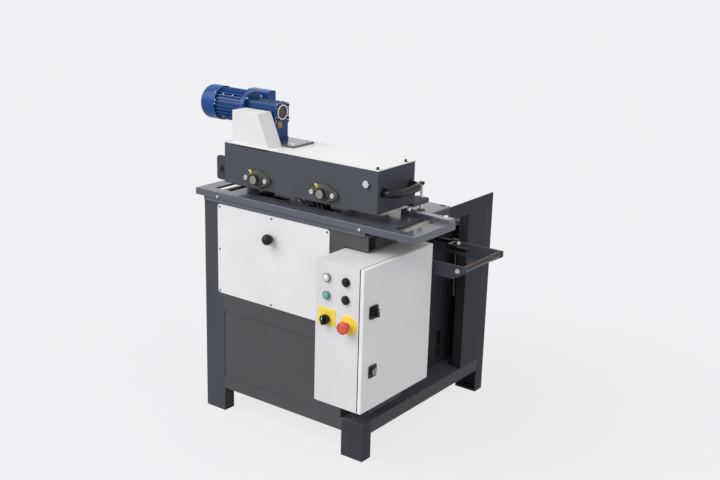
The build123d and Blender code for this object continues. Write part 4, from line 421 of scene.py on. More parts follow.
GROUND_STEEL = (0.46, 0.46, 0.47)
ROLLER_STEEL = (0.36, 0.34, 0.31)
BROWN_STEEL = (0.115, 0.095, 0.080)
DARK_STEEL = (0.060, 0.060, 0.064)
BRASS = (0.85, 0.64, 0.14)
COPPER = (0.42, 0.20, 0.085)

# Paint: tones as shares of the colour, depth of the skin in metres
PAINT_TONES = (0.90, 1.10)
RUN_TONE = 0.75
RUN_RANGE = (0.5, 0.8)
GLOSS_SWING = 0.16
DUST_GLOSS = 0.25
COAT_ROUGH = 0.10
PEEL_DEPTH = 0.0006

# Metal
METAL_CLOUD = 22.0
METAL_EDGE = 0.001
METAL_TONES = (0.82, 1.12)
METAL_RUB = 0.5
METAL_RUB_TONE = 1.35
GRIME_RANGE = (0.48, 0.72)
GRIME_TONE = 0.35
GRIME_GLOSS = 0.4
LINE_GLOSS = 0.14
LINE_BUMP = 0.25
LINE_DEPTH = 0.0002

# Plastic
PLASTIC_CLOUD = 30.0
PLASTIC_GRAIN = 1400.0
PLASTIC_EDGE = 0.0008
PLASTIC_TONES = (0.88, 1.12)
PLASTIC_KEPT = 0.65
PLASTIC_PALER = 0.20
PLASTIC_DEPTH = 0.0004

# Castings
CAST_CLOUD = 40.0
CAST_GRAIN = 520.0
CAST_EDGE = 0.002
CAST_WEAR = 160.0
CAST_TONES = (0.6, 1.45)
CAST_RUB = 0.6
CAST_GLOSS = 0.3
CAST_SAND = 0.45
CAST_DEPTH = 0.0012

# Parts of a node that look different, in mm
DULL_FADE = 60
MASK_FULL = 0.2
MASK_END = 0.8
MOUNTING_PLATE_FACE = 15


def paint(
    name, colour, rough, peel, wear, dust, specular=0.5, coat=0.0,
    grain_scale=GRAIN_SCALE, edge=EDGE_RADIUS, streaks=0.10, second=None
):
    """Sprayed paint with soft tone changes, orange peel, rubbed edges and settled dust."""
    material, tree, shader = start(name)
    mottle = use(tree, MOTTLE, Grain_Scale=grain_scale)
    edges = use(tree, EDGES, Radius=edge)
    settled = use(tree, DUST).outputs["Mask"]
    cloud = mottle.outputs["Cloud"]
    tone = cloudy(tree, cloud, colour, PAINT_TONES)
    if second:
        mask, other = second
        tone = mix(tree, mask(tree), tone, cloudy(tree, cloud, other, PAINT_TONES))
    runs = spread(tree, mottle.outputs["Runs"], *RUN_RANGE)
    tone = lay_over(tree, tone, runs, streaks, tint(colour, RUN_TONE))
    tone = lay_over(tree, tone, edges.outputs["Mask"], wear, (*BARE_STEEL, 1))
    tone = lay_over(tree, tone, settled, dust, (*PALE_DUST, 1))
    gloss = uneven(tree, cloud, GLOSS_SWING, rough)
    dull = maths(tree, "MULTIPLY", settled, DUST_GLOSS * dust)
    gloss = maths(tree, "ADD", gloss, dull, clamp=True)
    shader.inputs["Specular IOR Level"].default_value = specular
    feed(tree, shader.inputs["Coat Weight"], coat(tree) if callable(coat) else coat)
    shader.inputs["Coat Roughness"].default_value = COAT_ROUGH
    skin = bump(tree, mottle.outputs["Grain"], peel, PEEL_DEPTH, edges.outputs["Normal"])
    connect(tree, shader, tone, gloss, skin)
    return material


def clear_of_head(tree):
    """Mask of the deck's back part; the part under the head is dulled by sawdust."""
    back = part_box("head_sides")[1].y
    return spread(tree, axes(tree, place_vector(tree))["Y"], back, back + DULL_FADE * MM)


def lit_left_leg_front(tree):
    """Mask of the front face of the left front leg, which gets a lighter tone as painted light where the key
    lamp falls on it.
    """
    place = axes(tree, place_vector(tree))
    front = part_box("legs")[0].y
    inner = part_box("front_fascia")[0].x
    across = spread(tree, place["X"], inner + MASK_END * MM, inner)
    deep = spread(tree, place["Y"], front + MASK_END * MM, front + MASK_FULL * MM)
    return maths(tree, "MULTIPLY", across, deep)


def mounting_plate(tree):
    """Mask of the galvanised plate behind the contactors."""
    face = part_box("switchgear")[0].x + MOUNTING_PLATE_FACE * MM
    place = axes(tree, place_vector(tree))
    return spread(tree, place["X"], face + MASK_END * MM, face + MASK_FULL * MM)


def metal(name, colour, rough, along, grime=0.35):
    """Machined metal with fine lines along one axis, grime in patches and rubbed edges."""
    material, tree, shader = start(name)
    mottle = use(tree, MOTTLE, Cloud_Scale=METAL_CLOUD)
    edges = use(tree, EDGES, Radius=METAL_EDGE)
    line = use(tree, SCRATCHES).outputs["Along " + along]
    tone = cloudy(tree, line, colour, METAL_TONES)
    dirt = maths(tree, "MULTIPLY", spread(tree, mottle.outputs["Cloud"], *GRIME_RANGE), grime)
    tone = mix(tree, dirt, tone, tint(colour, GRIME_TONE))
    tone = lay_over(tree, tone, edges.outputs["Mask"], METAL_RUB, tint(colour, METAL_RUB_TONE))
    shader.inputs["Metallic"].default_value = 1.0
    gloss = uneven(tree, line, LINE_GLOSS, rough)
    gloss = maths(tree, "ADD", gloss, maths(tree, "MULTIPLY", dirt, GRIME_GLOSS), clamp=True)
    skin = bump(tree, line, LINE_BUMP, LINE_DEPTH, edges.outputs["Normal"])
    connect(tree, shader, tone, gloss, skin)
    return material


def plastic(name, colour, rough, grain=0.12, wear=0.15, specular=0.5):
    """Moulded plastic with a fine grain, uneven gloss and paler rubbed edges."""
    material, tree, shader = start(name)
    mottle = use(tree, MOTTLE, Cloud_Scale=PLASTIC_CLOUD, Grain_Scale=PLASTIC_GRAIN)
    edges = use(tree, EDGES, Radius=PLASTIC_EDGE)
    tone = cloudy(tree, mottle.outputs["Cloud"], colour, PLASTIC_TONES)
    pale = tuple(PLASTIC_KEPT * channel + PLASTIC_PALER for channel in colour)
    tone = lay_over(tree, tone, edges.outputs["Mask"], wear, (*pale, 1))
    gloss = uneven(tree, mottle.outputs["Cloud"], GLOSS_SWING, rough, clamp=True)
    shader.inputs["Specular IOR Level"].default_value = specular
    skin = bump(tree, mottle.outputs["Grain"], grain, PLASTIC_DEPTH, edges.outputs["Normal"])
    connect(tree, shader, tone, gloss, skin)
    return material


def cast(name, colour, rough):
    """Painted casting with a sandy skin and rubbed high spots."""
    material, tree, shader = start(name)
    mottle = use(tree, MOTTLE, Cloud_Scale=CAST_CLOUD, Grain_Scale=CAST_GRAIN)
    edges = use(tree, EDGES, Radius=CAST_EDGE, Break_Up=CAST_WEAR)
    tone = cloudy(tree, mottle.outputs["Cloud"], colour, CAST_TONES)
    tone = lay_over(tree, tone, edges.outputs["Mask"], CAST_RUB, (*BARE_STEEL, 1))
    gloss = uneven(tree, mottle.outputs["Grain"], CAST_GLOSS, rough, clamp=True)
    skin = bump(tree, mottle.outputs["Grain"], CAST_SAND, CAST_DEPTH, edges.outputs["Normal"])
    connect(tree, shader, tone, gloss, skin)
    return material


FINISH = {
    # Paints: colour, roughness, orange peel, rubbed edges, dust
    "graphite": paint("graphite_paint", GRAPHITE, 0.55, 0.10, 0.12, 0.04, specular=0.12),
    "graphite_panel": paint("graphite_panel", GRAPHITE_PANEL, 0.55, 0.10, 0.12, 0.04, specular=0.12),
    # Painted highlight under the table's front lip
    "graphite_lit_edge": paint("graphite_lit_edge", GRAPHITE_LIT_EDGE, 0.45, 0.08, 0.30, 0.04, specular=0.3),
    # Painted shade on the head's end plates
    "graphite_side_shade": paint("graphite_side_shade", GRAPHITE_SIDE_SHADE, 0.55, 0.10, 0.10, 0.03, specular=0.12),
    # Painted shade inside the right-hand bay
    "graphite_bay_shade": paint("graphite_bay_shade", GRAPHITE_BAY_SHADE, 0.55, 0.10, 0.12, 0.02, specular=0.12),
    # Painted shade on the legs, with painted light on the left front leg's front face
    "graphite_leg_shade_and_light": paint(
        "graphite_leg_shade_and_light", GRAPHITE_LEG_SHADE, 0.55, 0.10, 0.12, 0.02, specular=0.12,
        second=(lit_left_leg_front, LEG_FRONT_LIT)
    ),
    "graphite_gloss": paint("graphite_gloss", GRAPHITE_GLOSS, 0.30, 0.03, 0.12, 0.03, coat=1.0),
    "graphite_deck": paint(
        "graphite_deck", GRAPHITE_GLOSS, 0.42, 0.03, 0.12, 0.03, specular=0.2, coat=clear_of_head
    ),
    # The table's strong rubbed edges are partly real bare-steel scuffs and partly a painted highlight along
    # the lip's edges
    "graphite_table": paint(
        "graphite_table", GRAPHITE_TABLE, 0.38, 0.04, 0.75, 0.04, specular=0.4, coat=0.6, edge=0.0040
    ),
    "cover_white": paint("cover_white", COVER_WHITE, 0.48, 0.10, 0.10, 0.02, grain_scale=900.0, streaks=0.02),
    "box_grey": paint("box_grey", BOX_GREY, 0.50, 0.22, 0.06, 0.02, grain_scale=700.0, streaks=0.03),
    # Painted light on the door's side
    "door_grey_lit": paint("door_grey_lit", DOOR_GREY_LIT, 0.50, 0.22, 0.06, 0.02, grain_scale=700.0, streaks=0.03),
    "cowl_blue": paint("cowl_blue", COWL_BLUE, 0.38, 0.16, 0.03, 0.01, specular=0.2, coat=0.10),
    "motor_blue": paint("motor_blue", MOTOR_BLUE, 0.36, 0.16, 0.05, 0.01, specular=0.2, coat=0.25),
    "gear_blue": paint("gear_blue", GEAR_BLUE, 0.36, 0.20, 0.25, 0.04, specular=0.2, coat=0.20),
    "contactor_grey": paint(
        "contactor_grey", CONTACTOR_GREY, 0.45, 0.05, 0.10, 0.02, specular=0.3,
        second=(mounting_plate, GALVANISED)
    ),
    "bar_brown": paint("bar_brown", BAR_BROWN, 0.24, 0.03, 0.20, 0.12, specular=0.3, edge=0.0008),
    # Plastics and the casting: colour, roughness
    "satin_black": plastic("satin_black", SATIN_BLACK, 0.20, grain=0.04, wear=0.08, specular=0.30),
    "black_plastic": plastic("black_plastic", DULL_BLACK, 0.36, wear=0.10, specular=0.25),
    "black_rubber": plastic("black_rubber", DULL_BLACK, 0.62, grain=0.25, wear=0.05, specular=0.25),
    "yellow_plastic": plastic("yellow_plastic", YELLOW, 0.42),
    "white_plastic": plastic("white_plastic", BUTTON_WHITE, 0.35),
    "green_plastic": plastic("green_plastic", BUTTON_GREEN, 0.32),
    "red_plastic": plastic("red_plastic", STOP_RED, 0.38),
    "olive_iron": cast("olive_iron", OLIVE_IRON, 0.52),
    # Metals: colour, roughness, axis of the fine lines
    "zinc": metal("bright_zinc", ZINC, 0.30, "Z", grime=0.2),
    "grey_chrome": metal("grey_chrome", GREY_CHROME, 0.25, "Z", grime=0.2),
    "turned_steel": metal("turned_steel", TURNED_STEEL, 0.34, "X"),
    "ground_steel": metal("ground_steel", GROUND_STEEL, 0.30, "X", grime=0.2),
    "roller_steel": metal("roller_steel", ROLLER_STEEL, 0.36, "Y", grime=0.25),
    "brown_steel": metal("brown_steel", BROWN_STEEL, 0.40, "Y", grime=0.4),
    "dark_steel": metal("dark_steel", DARK_STEEL, 0.48, "Z", grime=0.5),
    "brass": metal("brass", BRASS, 0.30, "Z", grime=0.2),
    "copper": metal("copper_plate", COPPER, 0.40, "Z", grime=0.2),
}

NODE_FINISH = {
    "graphite": (
        "floor_plate", "left_panel", "rear_panel", "pivot_blocks", "head_hinge", "head_sides", "swing_frame",
    ),
    "graphite_panel": ("frame_rails", "front_fascia", "lower_panel"),
    # The head's end plates wear the darker graphite as painted shade
    "graphite_side_shade": ("head_ends",),
    # The inner wall and right column wear the darkest graphite as painted shade
    "graphite_bay_shade": ("inner_wall", "right_column"),
    # The legs wear painted shade, and painted light on the left front leg's front face
    "graphite_leg_shade_and_light": ("legs",),
    "graphite_gloss": ("gearbox_plate", "fence_bar"),
    "graphite_deck": ("top_deck",),
    "graphite_table": ("table_top",),
    "cover_white": ("access_cover", "head_cover", "chain_guard"),
    "box_grey": ("enclosure_box",),
    # The door wears the lighter copy of the box's grey as painted light
    "door_grey_lit": ("enclosure_door",),
    "cowl_blue": ("fan_cowl",),
    "motor_blue": ("feed_motor", "saw_motor"),
    "gear_blue": ("worm_gearbox",),
    "satin_black": ("head_handle", "lock_crank"),
    "black_plastic": (
        "access_knob", "button_black_upper", "button_black_lower", "selector_knob", "mains_switch",
        "switch_plate", "button_sockets", "cable_glands",
    ),
    "contactor_grey": ("switchgear",),
    "black_rubber": ("control_cables", "drive_belts"),
    "yellow_plastic": ("legend_plates",),
    "white_plastic": ("button_white",),
    "green_plastic": ("button_green",),
    "red_plastic": ("estop_head",),
    "olive_iron": ("flange_bearings", "arbor_housing"),
    "zinc": ("finger_rod", "stop_screw"),
    "grey_chrome": ("door_lock",),
    "turned_steel": (
        "feed_roller_outfeed", "feed_roller_infeed", "gearbox_shaft", "saw_arbor", "motor_pulley",
    ),
    "ground_steel": ("saw_blades",),
    "roller_steel": ("table_roller_outfeed", "table_roller_infeed"),
    "bar_brown": ("lift_bar",),
    "dark_steel": ("kickback_fingers", "feed_chains"),
}


def dress_nodes():
    """Gives every CAD node its finish."""
    for finish, names in NODE_FINISH.items():
        for name in names:
            slots = NODES[name].data.materials
            slots.clear()
            slots.append(FINISH[finish])


# Turned shapes, in mm: radius, height and, where the outline is a polygon, its number of sides
PAN_SCREW = ((5.5, 0), (5.5, 1), (4.6, 2.6), (2.6, 3.1), (2.5, 3.1, 6), (2.3, 1.6, 6))
HEX_BOLT = ((9, 0), (9, 1.6), (7.4, 1.6, 6), (7.4, 6.4, 6), (6.2, 7.2))
CAP_SCREW = ((6.5, 0), (6.5, 7.2), (5.9, 8), (3.4, 8, 6), (3.2, 4, 6))
COVER_STUD = ((7, 0), (7, 1.5), (4.6, 1.5), (4.6, 7), (3.6, 8.5))
GREASE_NIPPLE = ((4.6, -3, 6), (4.6, 2.6, 6), (3, 3.2), (3, 4.8), (3.7, 5.8), (2.2, 7.4))
DOMED_NUT = ((13, 0), (13, 2), (9.5, 2, 6), (9.5, 9, 6), (8, 9.5), (7, 13), (4.5, 15.5))
BUTTON_DOME = ((10.8, -0.6), (10.8, 0.2), (9.6, 1.3), (6.5, 2.1), (3, 2.5))
SOCKET_WASHER = ((7.6, 0), (7.6, 1.2), (5.2, 1.2), (5.2, 0))
ESTOP_COLLAR = ((15.8, -5.8), (15.8, 0.1), (15.2, 0.6), (11.8, 0.6), (11.8, -1.5))
FENCE_NUT = ((8.2, 0), (8.2, 1.2), (7.6, 1.2, 6), (7.6, 7.4, 6), (6.4, 8))
STOP_CAP = ((9.9, -9.2), (9.9, 0.1), (9.2, 0.7), (5.2, 0.7, 6), (5, -3, 6))
CHROME_RING = ((15.6, -5.6), (15.6, 0.1), (14.8, 0.9), (12.4, 0.9), (11.5, 0.2), (11.5, -1.5))
SHAFT_RING = ((20.6, -4.6), (20.6, 0.1), (19.8, 0.6), (15.1, 0.6), (15.1, -0.4))
WORM_RING = ((27.6, -3.8), (27.6, 0.2), (26.8, 0.7), (23.6, 0.7), (22.9, 0.1), (22.9, -1.5))
WORM_PLUG = ((22.4, -0.2), (22.4, 0.6), (20.8, 1.2), (8, 0.7))
STOP_NUT = ((9.6, 0, 6), (9.6, 7, 6), (5.4, 7), (5.4, 0))

# Making of the shapes: sides of a circle, depth of a foot in mm, turn from one screw to the next in radians
SIDES = 24
SINK = 0.3
SCREW_TWIST = 0.7
SHARP_ANGLE = 32
# Distance in metres from which a line looks for a surface
REACH = 2.0
# Outline of a rounded strip, as shares of its thickness and width
STRIP_SECTION = ((0, 0), (0.75, 0), (1, 0.25), (1, 0.75), (0.75, 1), (0, 1))
# Heights of a thread's crest and upper root, as shares of its pitch
THREAD_CREST = 0.45
THREAD_ROOT = 0.9
surfaces = {}


def flat_reach(angle, flats=0):
    """Share of the corner radius that a polygon reaches at an angle; 1 for a round outline."""
    if not flats:
        return 1.0
    return cos(pi / flats) / cos(angle % (tau / flats) - pi / flats)


def turned(maker, spot, along, profile, size=1.0, twist=0.0, ring=False):
    """Adds a turned shape to a mesh: a closed ring, or a solid with flat ends."""
    turn = along.to_track_quat("Z", "Y").to_matrix()
    loops = []
    for radius, height, *flats in profile:
        loop = []
        for step in range(SIDES):
            angle = tau * step / SIDES
            out = radius * flat_reach(angle, *flats)
            local = Vector((out * cos(angle + twist), out * sin(angle + twist), height - SINK))
            loop.append(maker.verts.new(spot + turn @ local * size * MM))
        loops.append(loop)
    if ring:
        loops.append(loops[0])
    else:
        maker.faces.new(loops[0][::-1])
        maker.faces.new(loops[-1])
    for lower, upper in zip(loops, loops[1:]):
        for step in range(SIDES):
            after = (step + 1) % SIDES
            maker.faces.new((lower[step], lower[after], upper[after], upper[step]))


def block(maker, low, high, edge):
    """Adds a block between two corners with rounded edges; the edge size is in mm."""
    corners = bmesh.ops.create_cube(maker, size=1.0)["verts"]
    for corner in corners:
        share = corner.co + Vector((0.5, 0.5, 0.5))
        corner.co = Vector(a + (b - a) * s for a, b, s in zip(low, high, share))
    sides = list({side for corner in corners for side in corner.link_edges})
    bmesh.ops.bevel(maker, geom=sides, offset=edge * MM, segments=2, profile=0.5, affect="EDGES")


def strip_loop(maker, x, low, high, wide, thick):
    """Adds a rounded strip round a rectangle that looks along X; wide and thick are in mm."""
    corners = (
        (low.y, low.z, 1, 1),
        (high.y, low.z, -1, 1),
        (high.y, high.z, -1, -1),
        (low.y, high.z, 1, -1),
    )
    loops = []
    for y, z, y_way, z_way in corners:
        loops.append([
            maker.verts.new((x + t * thick * MM, y + y_way * w * wide * MM, z + z_way * w * wide * MM))
            for t, w in STRIP_SECTION
        ])
    for first, after in zip(loops, loops[1:] + loops[:1]):
        for step in range(len(STRIP_SECTION)):
            beyond = (step + 1) % len(STRIP_SECTION)
            maker.faces.new((first[step], first[beyond], after[beyond], after[step]))


def thread(maker, foot, length, radius, pitch, depth):
    """Adds an upright screw thread above a point; all sizes are in mm."""
    section = ((radius, 0), (radius + depth, THREAD_CREST * pitch), (radius, THREAD_ROOT * pitch))
    rows = []
    for step in range(int(length / pitch * SIDES) + 1):
        angle = tau * step / SIDES
        rise = pitch * step / SIDES
        rows.append([
            maker.verts.new(foot + Vector((out * cos(angle), out * sin(angle), rise + up)) * MM)
            for out, up in section
        ])
    for row, after in zip(rows, rows[1:]):
        for step in range(len(section)):
            beyond = (step + 1) % len(section)
            maker.faces.new((row[step], after[step], after[beyond], row[beyond]))
    maker.faces.new(rows[0])
    maker.faces.new(rows[-1][::-1])


def finish_piece(maker, name, body, finish):
    """Makes the mesh an object that rides a body and wears a finish."""
    bmesh.ops.recalc_face_normals(maker, faces=maker.faces)
    for face in maker.faces:
        face.smooth = True
    mesh = bpy.data.meshes.new(name)
    maker.to_mesh(mesh)
    maker.free()
    mesh.set_sharp_from_angle(angle=radians(SHARP_ANGLE))
    mesh.materials.append(FINISH[finish])
    piece = bpy.data.objects.new(name, mesh)
    bpy.context.scene.collection.objects.link(piece)
    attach(piece, body)


def seat(node, spot, along):
    """Where a line that comes in against the direction given first meets a node."""
    if node not in surfaces:
        mesh = NODES[node].data
        corners = [corner.co for corner in mesh.vertices]
        surfaces[node] = BVHTree.FromPolygons(corners, [face.vertices for face in mesh.polygons])
    return surfaces[node].ray_cast(spot + along * REACH, -along)[0]


def turn_piece(name, body, finish, profile, places, size=1.0, twist=0.0, ring=False):
    """One piece with a turned shape at each place, given as a point and the way the shape looks."""
    maker = bmesh.new()
    for count, (spot, along) in enumerate(places):
        turned(maker, spot, along, profile, size, twist * count, ring)
    finish_piece(maker, name, body, finish)


def fasten(name, body, finish, profile, node, places, along, size=1.0, lean=None, ring=False, rim=0):
    """One piece with a turned shape on a node at each place; a rim in mm finds the surface beside it."""
    across = (RIGHTWARD if along.z else UPWARD) * rim * MM
    feet = [seat(node, place + across, along) - across for place in places]
    turn_piece(name, body, finish, profile, [(foot, lean or along) for foot in feet], size, SCREW_TWIST, ring)


def place_block(name, body, finish, low, high, edge):
    """One piece that is a block with rounded edges."""
    maker = bmesh.new()
    block(maker, low, high, edge)
    finish_piece(maker, name, body, finish)


def spots(xs=(0,), ys=(0,), zs=(0,)):
    """Every spot of a grid."""
    return [Vector((x, y, z)) for x in xs for y in ys for z in zs]


def middle(node):
    """Middle of a node's box."""
    low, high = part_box(node)
    return (low + high) / 2


def inset(node, by):
    """Low and high corners of a node's box drawn in on all sides by a size in mm."""
    low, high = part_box(node)
    step = Vector((by, by, by)) * MM
    return low + step, high - step


# Places on the cabinet and table, in mm
PANEL_SCREW_INSET = 10
SHEET_SCREW_INSET = 22
LIP_SCREW_DROP = 16
LIP_SCREW_LEFT = 113
LIP_SCREW_RIGHT = 222
RAIL_BOLT_YS = (-262, -237)
RAIL_BOLT_DROP = 44
DECK_SCREW_STEPS = (20, 31)
DECK_SCREW_BACK = 11


def add_cabinet_fasteners():
    """Screws of the cover, panels, lips, rails and deck."""
    low, high = inset("access_cover", PANEL_SCREW_INSET)
    rim = spots((low.x, middle("access_knob").x, high.x), zs=(low.z, high.z))
    rim += spots((low.x, high.x), zs=(middle("access_cover").z,))
    fasten("cover_screws", "base", "grey_chrome", PAN_SCREW, "access_cover", rim, FORWARD, size=0.85)
    low, high = inset("left_panel", SHEET_SCREW_INSET)
    rim = spots(ys=(low.y, middle("left_panel").y, high.y), zs=(low.z, high.z))
    fasten("left_panel_screws", "base", "zinc", PAN_SCREW, "left_panel", rim, LEFTWARD)
    low, high = inset("rear_panel", SHEET_SCREW_INSET)
    rim = spots((low.x, middle("rear_panel").x, high.x), zs=(low.z, high.z))
    fasten("rear_panel_screws", "base", "zinc", PAN_SCREW, "rear_panel", rim, BACKWARD)
    low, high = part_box("table_top")
    lip_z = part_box("table_roller_infeed")[1].z - LIP_SCREW_DROP * MM
    lip = spots((low.x + LIP_SCREW_LEFT * MM, high.x - LIP_SCREW_RIGHT * MM), zs=(lip_z,))
    fasten("lip_screws", "base", "zinc", CAP_SCREW, "table_top", lip, FORWARD, size=0.8)
    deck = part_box("top_deck")[1]
    rail = spots(ys=[y * MM for y in RAIL_BOLT_YS], zs=(deck.z - RAIL_BOLT_DROP * MM,))
    fasten("rail_bolts", "base", "zinc", PAN_SCREW, "frame_rails", rail, RIGHTWARD)
    corner = spots([deck.x - step * MM for step in DECK_SCREW_STEPS], (deck.y - DECK_SCREW_BACK * MM,))
    fasten("deck_screws", "base", "satin_black", PAN_SCREW, "top_deck", corner, UPWARD, size=0.9)


# Places on the feed head, in mm
BEARING_BOLT_STEP = 45
NIPPLE_STEP = (-25, 23)
NIPPLE_LEAN = Vector((-0.45, -0.55, 0.70))
NIPPLE_LEAN_BACK = NIPPLE_LEAN * Vector((1, -1, 1))
SHAFT_CAP = 5
COVER_STUD_STEP_X = 14
COVER_STUD_FRONT = 16
COVER_STUD_BACK = 42
HINGE_PIN = (-319, 950)


def add_head_fasteners():
    """Bolts, nipples, rings and studs of the feed head."""
    bolts = []
    nipples = []
    for roller in ("feed_roller_outfeed", "feed_roller_infeed"):
        shaft = middle(roller)
        step = BEARING_BOLT_STEP * MM
        bolts += spots((shaft.x - step, shaft.x + step), zs=(shaft.z,))
        nipples += spots((shaft.x + NIPPLE_STEP[0] * MM,), zs=(shaft.z + NIPPLE_STEP[1] * MM,))
    for side, along, lean in (("front", FORWARD, NIPPLE_LEAN), ("back", BACKWARD, NIPPLE_LEAN_BACK)):
        fasten(f"bearing_bolts_{side}", "head", "zinc", CAP_SCREW, "flange_bearings", bolts, along, size=1.3)
        fasten(
            f"grease_nipples_{side}", "head", "brass", GREASE_NIPPLE, "flange_bearings", nipples, along,
            size=1.5, lean=lean
        )
    for side in ("outfeed", "infeed"):
        low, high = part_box("feed_roller_" + side)
        shaft = middle("feed_roller_" + side)
        ends = [
            (Vector((shaft.x, low.y + SHAFT_CAP * MM, shaft.z)), FORWARD),
            (Vector((shaft.x, high.y - SHAFT_CAP * MM, shaft.z)), BACKWARD),
        ]
        turn_piece(f"{side}_roller_rings", f"{side}_roller", "satin_black", SHAFT_RING, ends, ring=True)
    low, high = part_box("head_cover")
    step = COVER_STUD_STEP_X * MM
    studs = spots((high.x - step,), (low.y + COVER_STUD_FRONT * MM, high.y - COVER_STUD_BACK * MM))
    studs += spots((low.x + step,), (high.y - COVER_STUD_BACK * MM,))
    fasten("cover_studs", "head", "satin_black", COVER_STUD, "head_cover", studs, UPWARD)
    pin = spots((HINGE_PIN[0] * MM,), zs=(HINGE_PIN[1] * MM,))
    for side, along in (("front", FORWARD), ("back", BACKWARD)):
        fasten(f"hinge_bolt_{side}", "base", "brown_steel", HEX_BOLT, "head_hinge", pin, along, size=1.3)


# Places on the feed drive, in mm; turns about the motor's axis in degrees
WORM_SCREW_STEP = (29, 23)
WORM_PLATE = (1.6, 20, 24)
WORM_PLATE_STEP = (0, -11, -45)
WORM_PLATE_EDGE = 0.4
SCREW_TURNS = (45, 135, 225, 315)
MOTOR_SCREW_XS = (-370, -324)
MOTOR_SCREW_REACH = 58
COWL_SCREW_STEP = 9
FLANGE_BOLT_REACH = 52
FLANGE_SCREW_SIZE = 0.7


def add_drive_trim():
    """Screws, washers, ring, plug and bare plate of the gear motor."""
    axis = middle("fan_cowl")
    steps_y = [axis.y + way * WORM_SCREW_STEP[0] * MM for way in (-1, 1)]
    steps_z = [axis.z + way * WORM_SCREW_STEP[1] * MM for way in (-1, 1)]
    ends = spots(ys=steps_y, zs=steps_z)
    fasten("worm_washers", "head", "zinc", SOCKET_WASHER, "worm_gearbox", ends, RIGHTWARD, ring=True)
    fasten("worm_screws", "head", "satin_black", CAP_SCREW, "worm_gearbox", ends, RIGHTWARD, size=0.8)
    worm_end = Vector((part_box("worm_gearbox")[1].x, axis.y, axis.z))
    turn_piece("worm_end_ring", "head", "zinc", WORM_RING, [(worm_end, RIGHTWARD)], ring=True)
    fasten("worm_plug", "head", "brown_steel", WORM_PLUG, "worm_gearbox", [axis], RIGHTWARD)
    plate_at = seat("worm_gearbox", axis + Vector(WORM_PLATE_STEP) * MM, RIGHTWARD)
    half = Vector(WORM_PLATE) / 2 * MM
    place_block("gear_plate_blank", "head", "copper", plate_at - half, plate_at + half, WORM_PLATE_EDGE)
    ways = [Vector((0, cos(radians(turn)), sin(radians(turn)))) for turn in SCREW_TURNS]
    screws = [
        (Vector((x * MM, axis.y, axis.z)) + way * MOTOR_SCREW_REACH * MM, way)
        for x in MOTOR_SCREW_XS for way in ways
    ]
    turn_piece("motor_screws", "head", "grey_chrome", PAN_SCREW, screws, size=0.8)
    maker = bmesh.new()
    rim = Vector((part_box("fan_cowl")[1].x - COWL_SCREW_STEP * MM, axis.y, axis.z))
    for way in ways:
        turned(maker, seat("fan_cowl", rim, way), way, PAN_SCREW, FLANGE_SCREW_SIZE)
        bolt = seat("worm_gearbox", axis + way * FLANGE_BOLT_REACH * MM, RIGHTWARD)
        turned(maker, bolt, RIGHTWARD, HEX_BOLT, FLANGE_SCREW_SIZE)
    finish_piece(maker, "flange_screws", "head", "grey_chrome")


# Places at the chain guard and the gearbox plate, in mm
GUARD_FOOT = (44, 56, 2)
GUARD_FOOT_LAP = 2
GUARD_FOOT_SINK = 0.2
GUARD_FOOT_EDGE = 0.7
# Black strip under the guard's lower edge: a dark piece painted as the shadow gap there
GUARD_SHADOW_STRIP_H = 8
GUARD_SHADOW_STRIP_OUT = 1.4
GUARD_SHADOW_STRIP_IN = 0.5
GUARD_SHADOW_STRIP_EDGE = 0.5
PLATE_BOLT_INSET = 15


def add_guard_trim():
    """Foot, a black strip painted as the shadow gap under the guard, and bolts at the chain guard and the
    gearbox plate.
    """
    low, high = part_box("chain_guard")
    cover_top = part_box("head_cover")[1].z
    lap = GUARD_FOOT_LAP * MM
    foot = Vector((high.x - lap, low.y + lap, cover_top - GUARD_FOOT_SINK * MM))
    place_block("guard_foot", "head", "cover_white", foot, foot + Vector(GUARD_FOOT) * MM, GUARD_FOOT_EDGE)
    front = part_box("head_sides")[0].y
    # Painted shadow: a black strip along the head's front top under the guard, where the gap holds only shade
    strip_low = Vector((low.x, front - GUARD_SHADOW_STRIP_OUT * MM, cover_top - GUARD_SHADOW_STRIP_H * MM))
    strip_high = Vector((high.x, front + GUARD_SHADOW_STRIP_IN * MM, cover_top - GUARD_SHADOW_STRIP_IN * MM))
    place_block("guard_shadow_strip", "head", "satin_black", strip_low, strip_high, GUARD_SHADOW_STRIP_EDGE)
    low, high = inset("gearbox_plate", PLATE_BOLT_INSET)
    bolts = spots((low.x, high.x), (low.y, high.y))
    fasten("gear_plate_bolts", "head", "zinc", HEX_BOLT, "gearbox_plate", bolts, UPWARD, size=0.85)


# Places on the controls, in mm
DOOR_GAP = 4
SEAL_WIDE = 10
SEAL_THICK = 3.7
SEAL_INSET = 5
BEZEL_RIM = 13
MARK_HALF = 1.2
MARK_OUT = 0.6
MARK_IN = 1
MARK_FROM = 3
MARK_TO = 13
MARK_EDGE = 0.3
BUTTONS = (
    ("button_white", "white_button", "white_plastic"),
    ("button_green", "green_button", "green_plastic"),
    ("button_black_upper", "upper_button", "black_plastic"),
    ("button_black_lower", "lower_button", "black_plastic"),
)


def add_bezel(name, node, finish, profile):
    """Ring on the socket that holds a button."""
    centre = middle(node)
    rim = seat("button_sockets", centre + RIGHTWARD * BEZEL_RIM * MM, FORWARD)
    place = Vector((centre.x, rim.y, centre.z))
    turn_piece(name, "base", finish, profile, [(place, FORWARD)], ring=True)


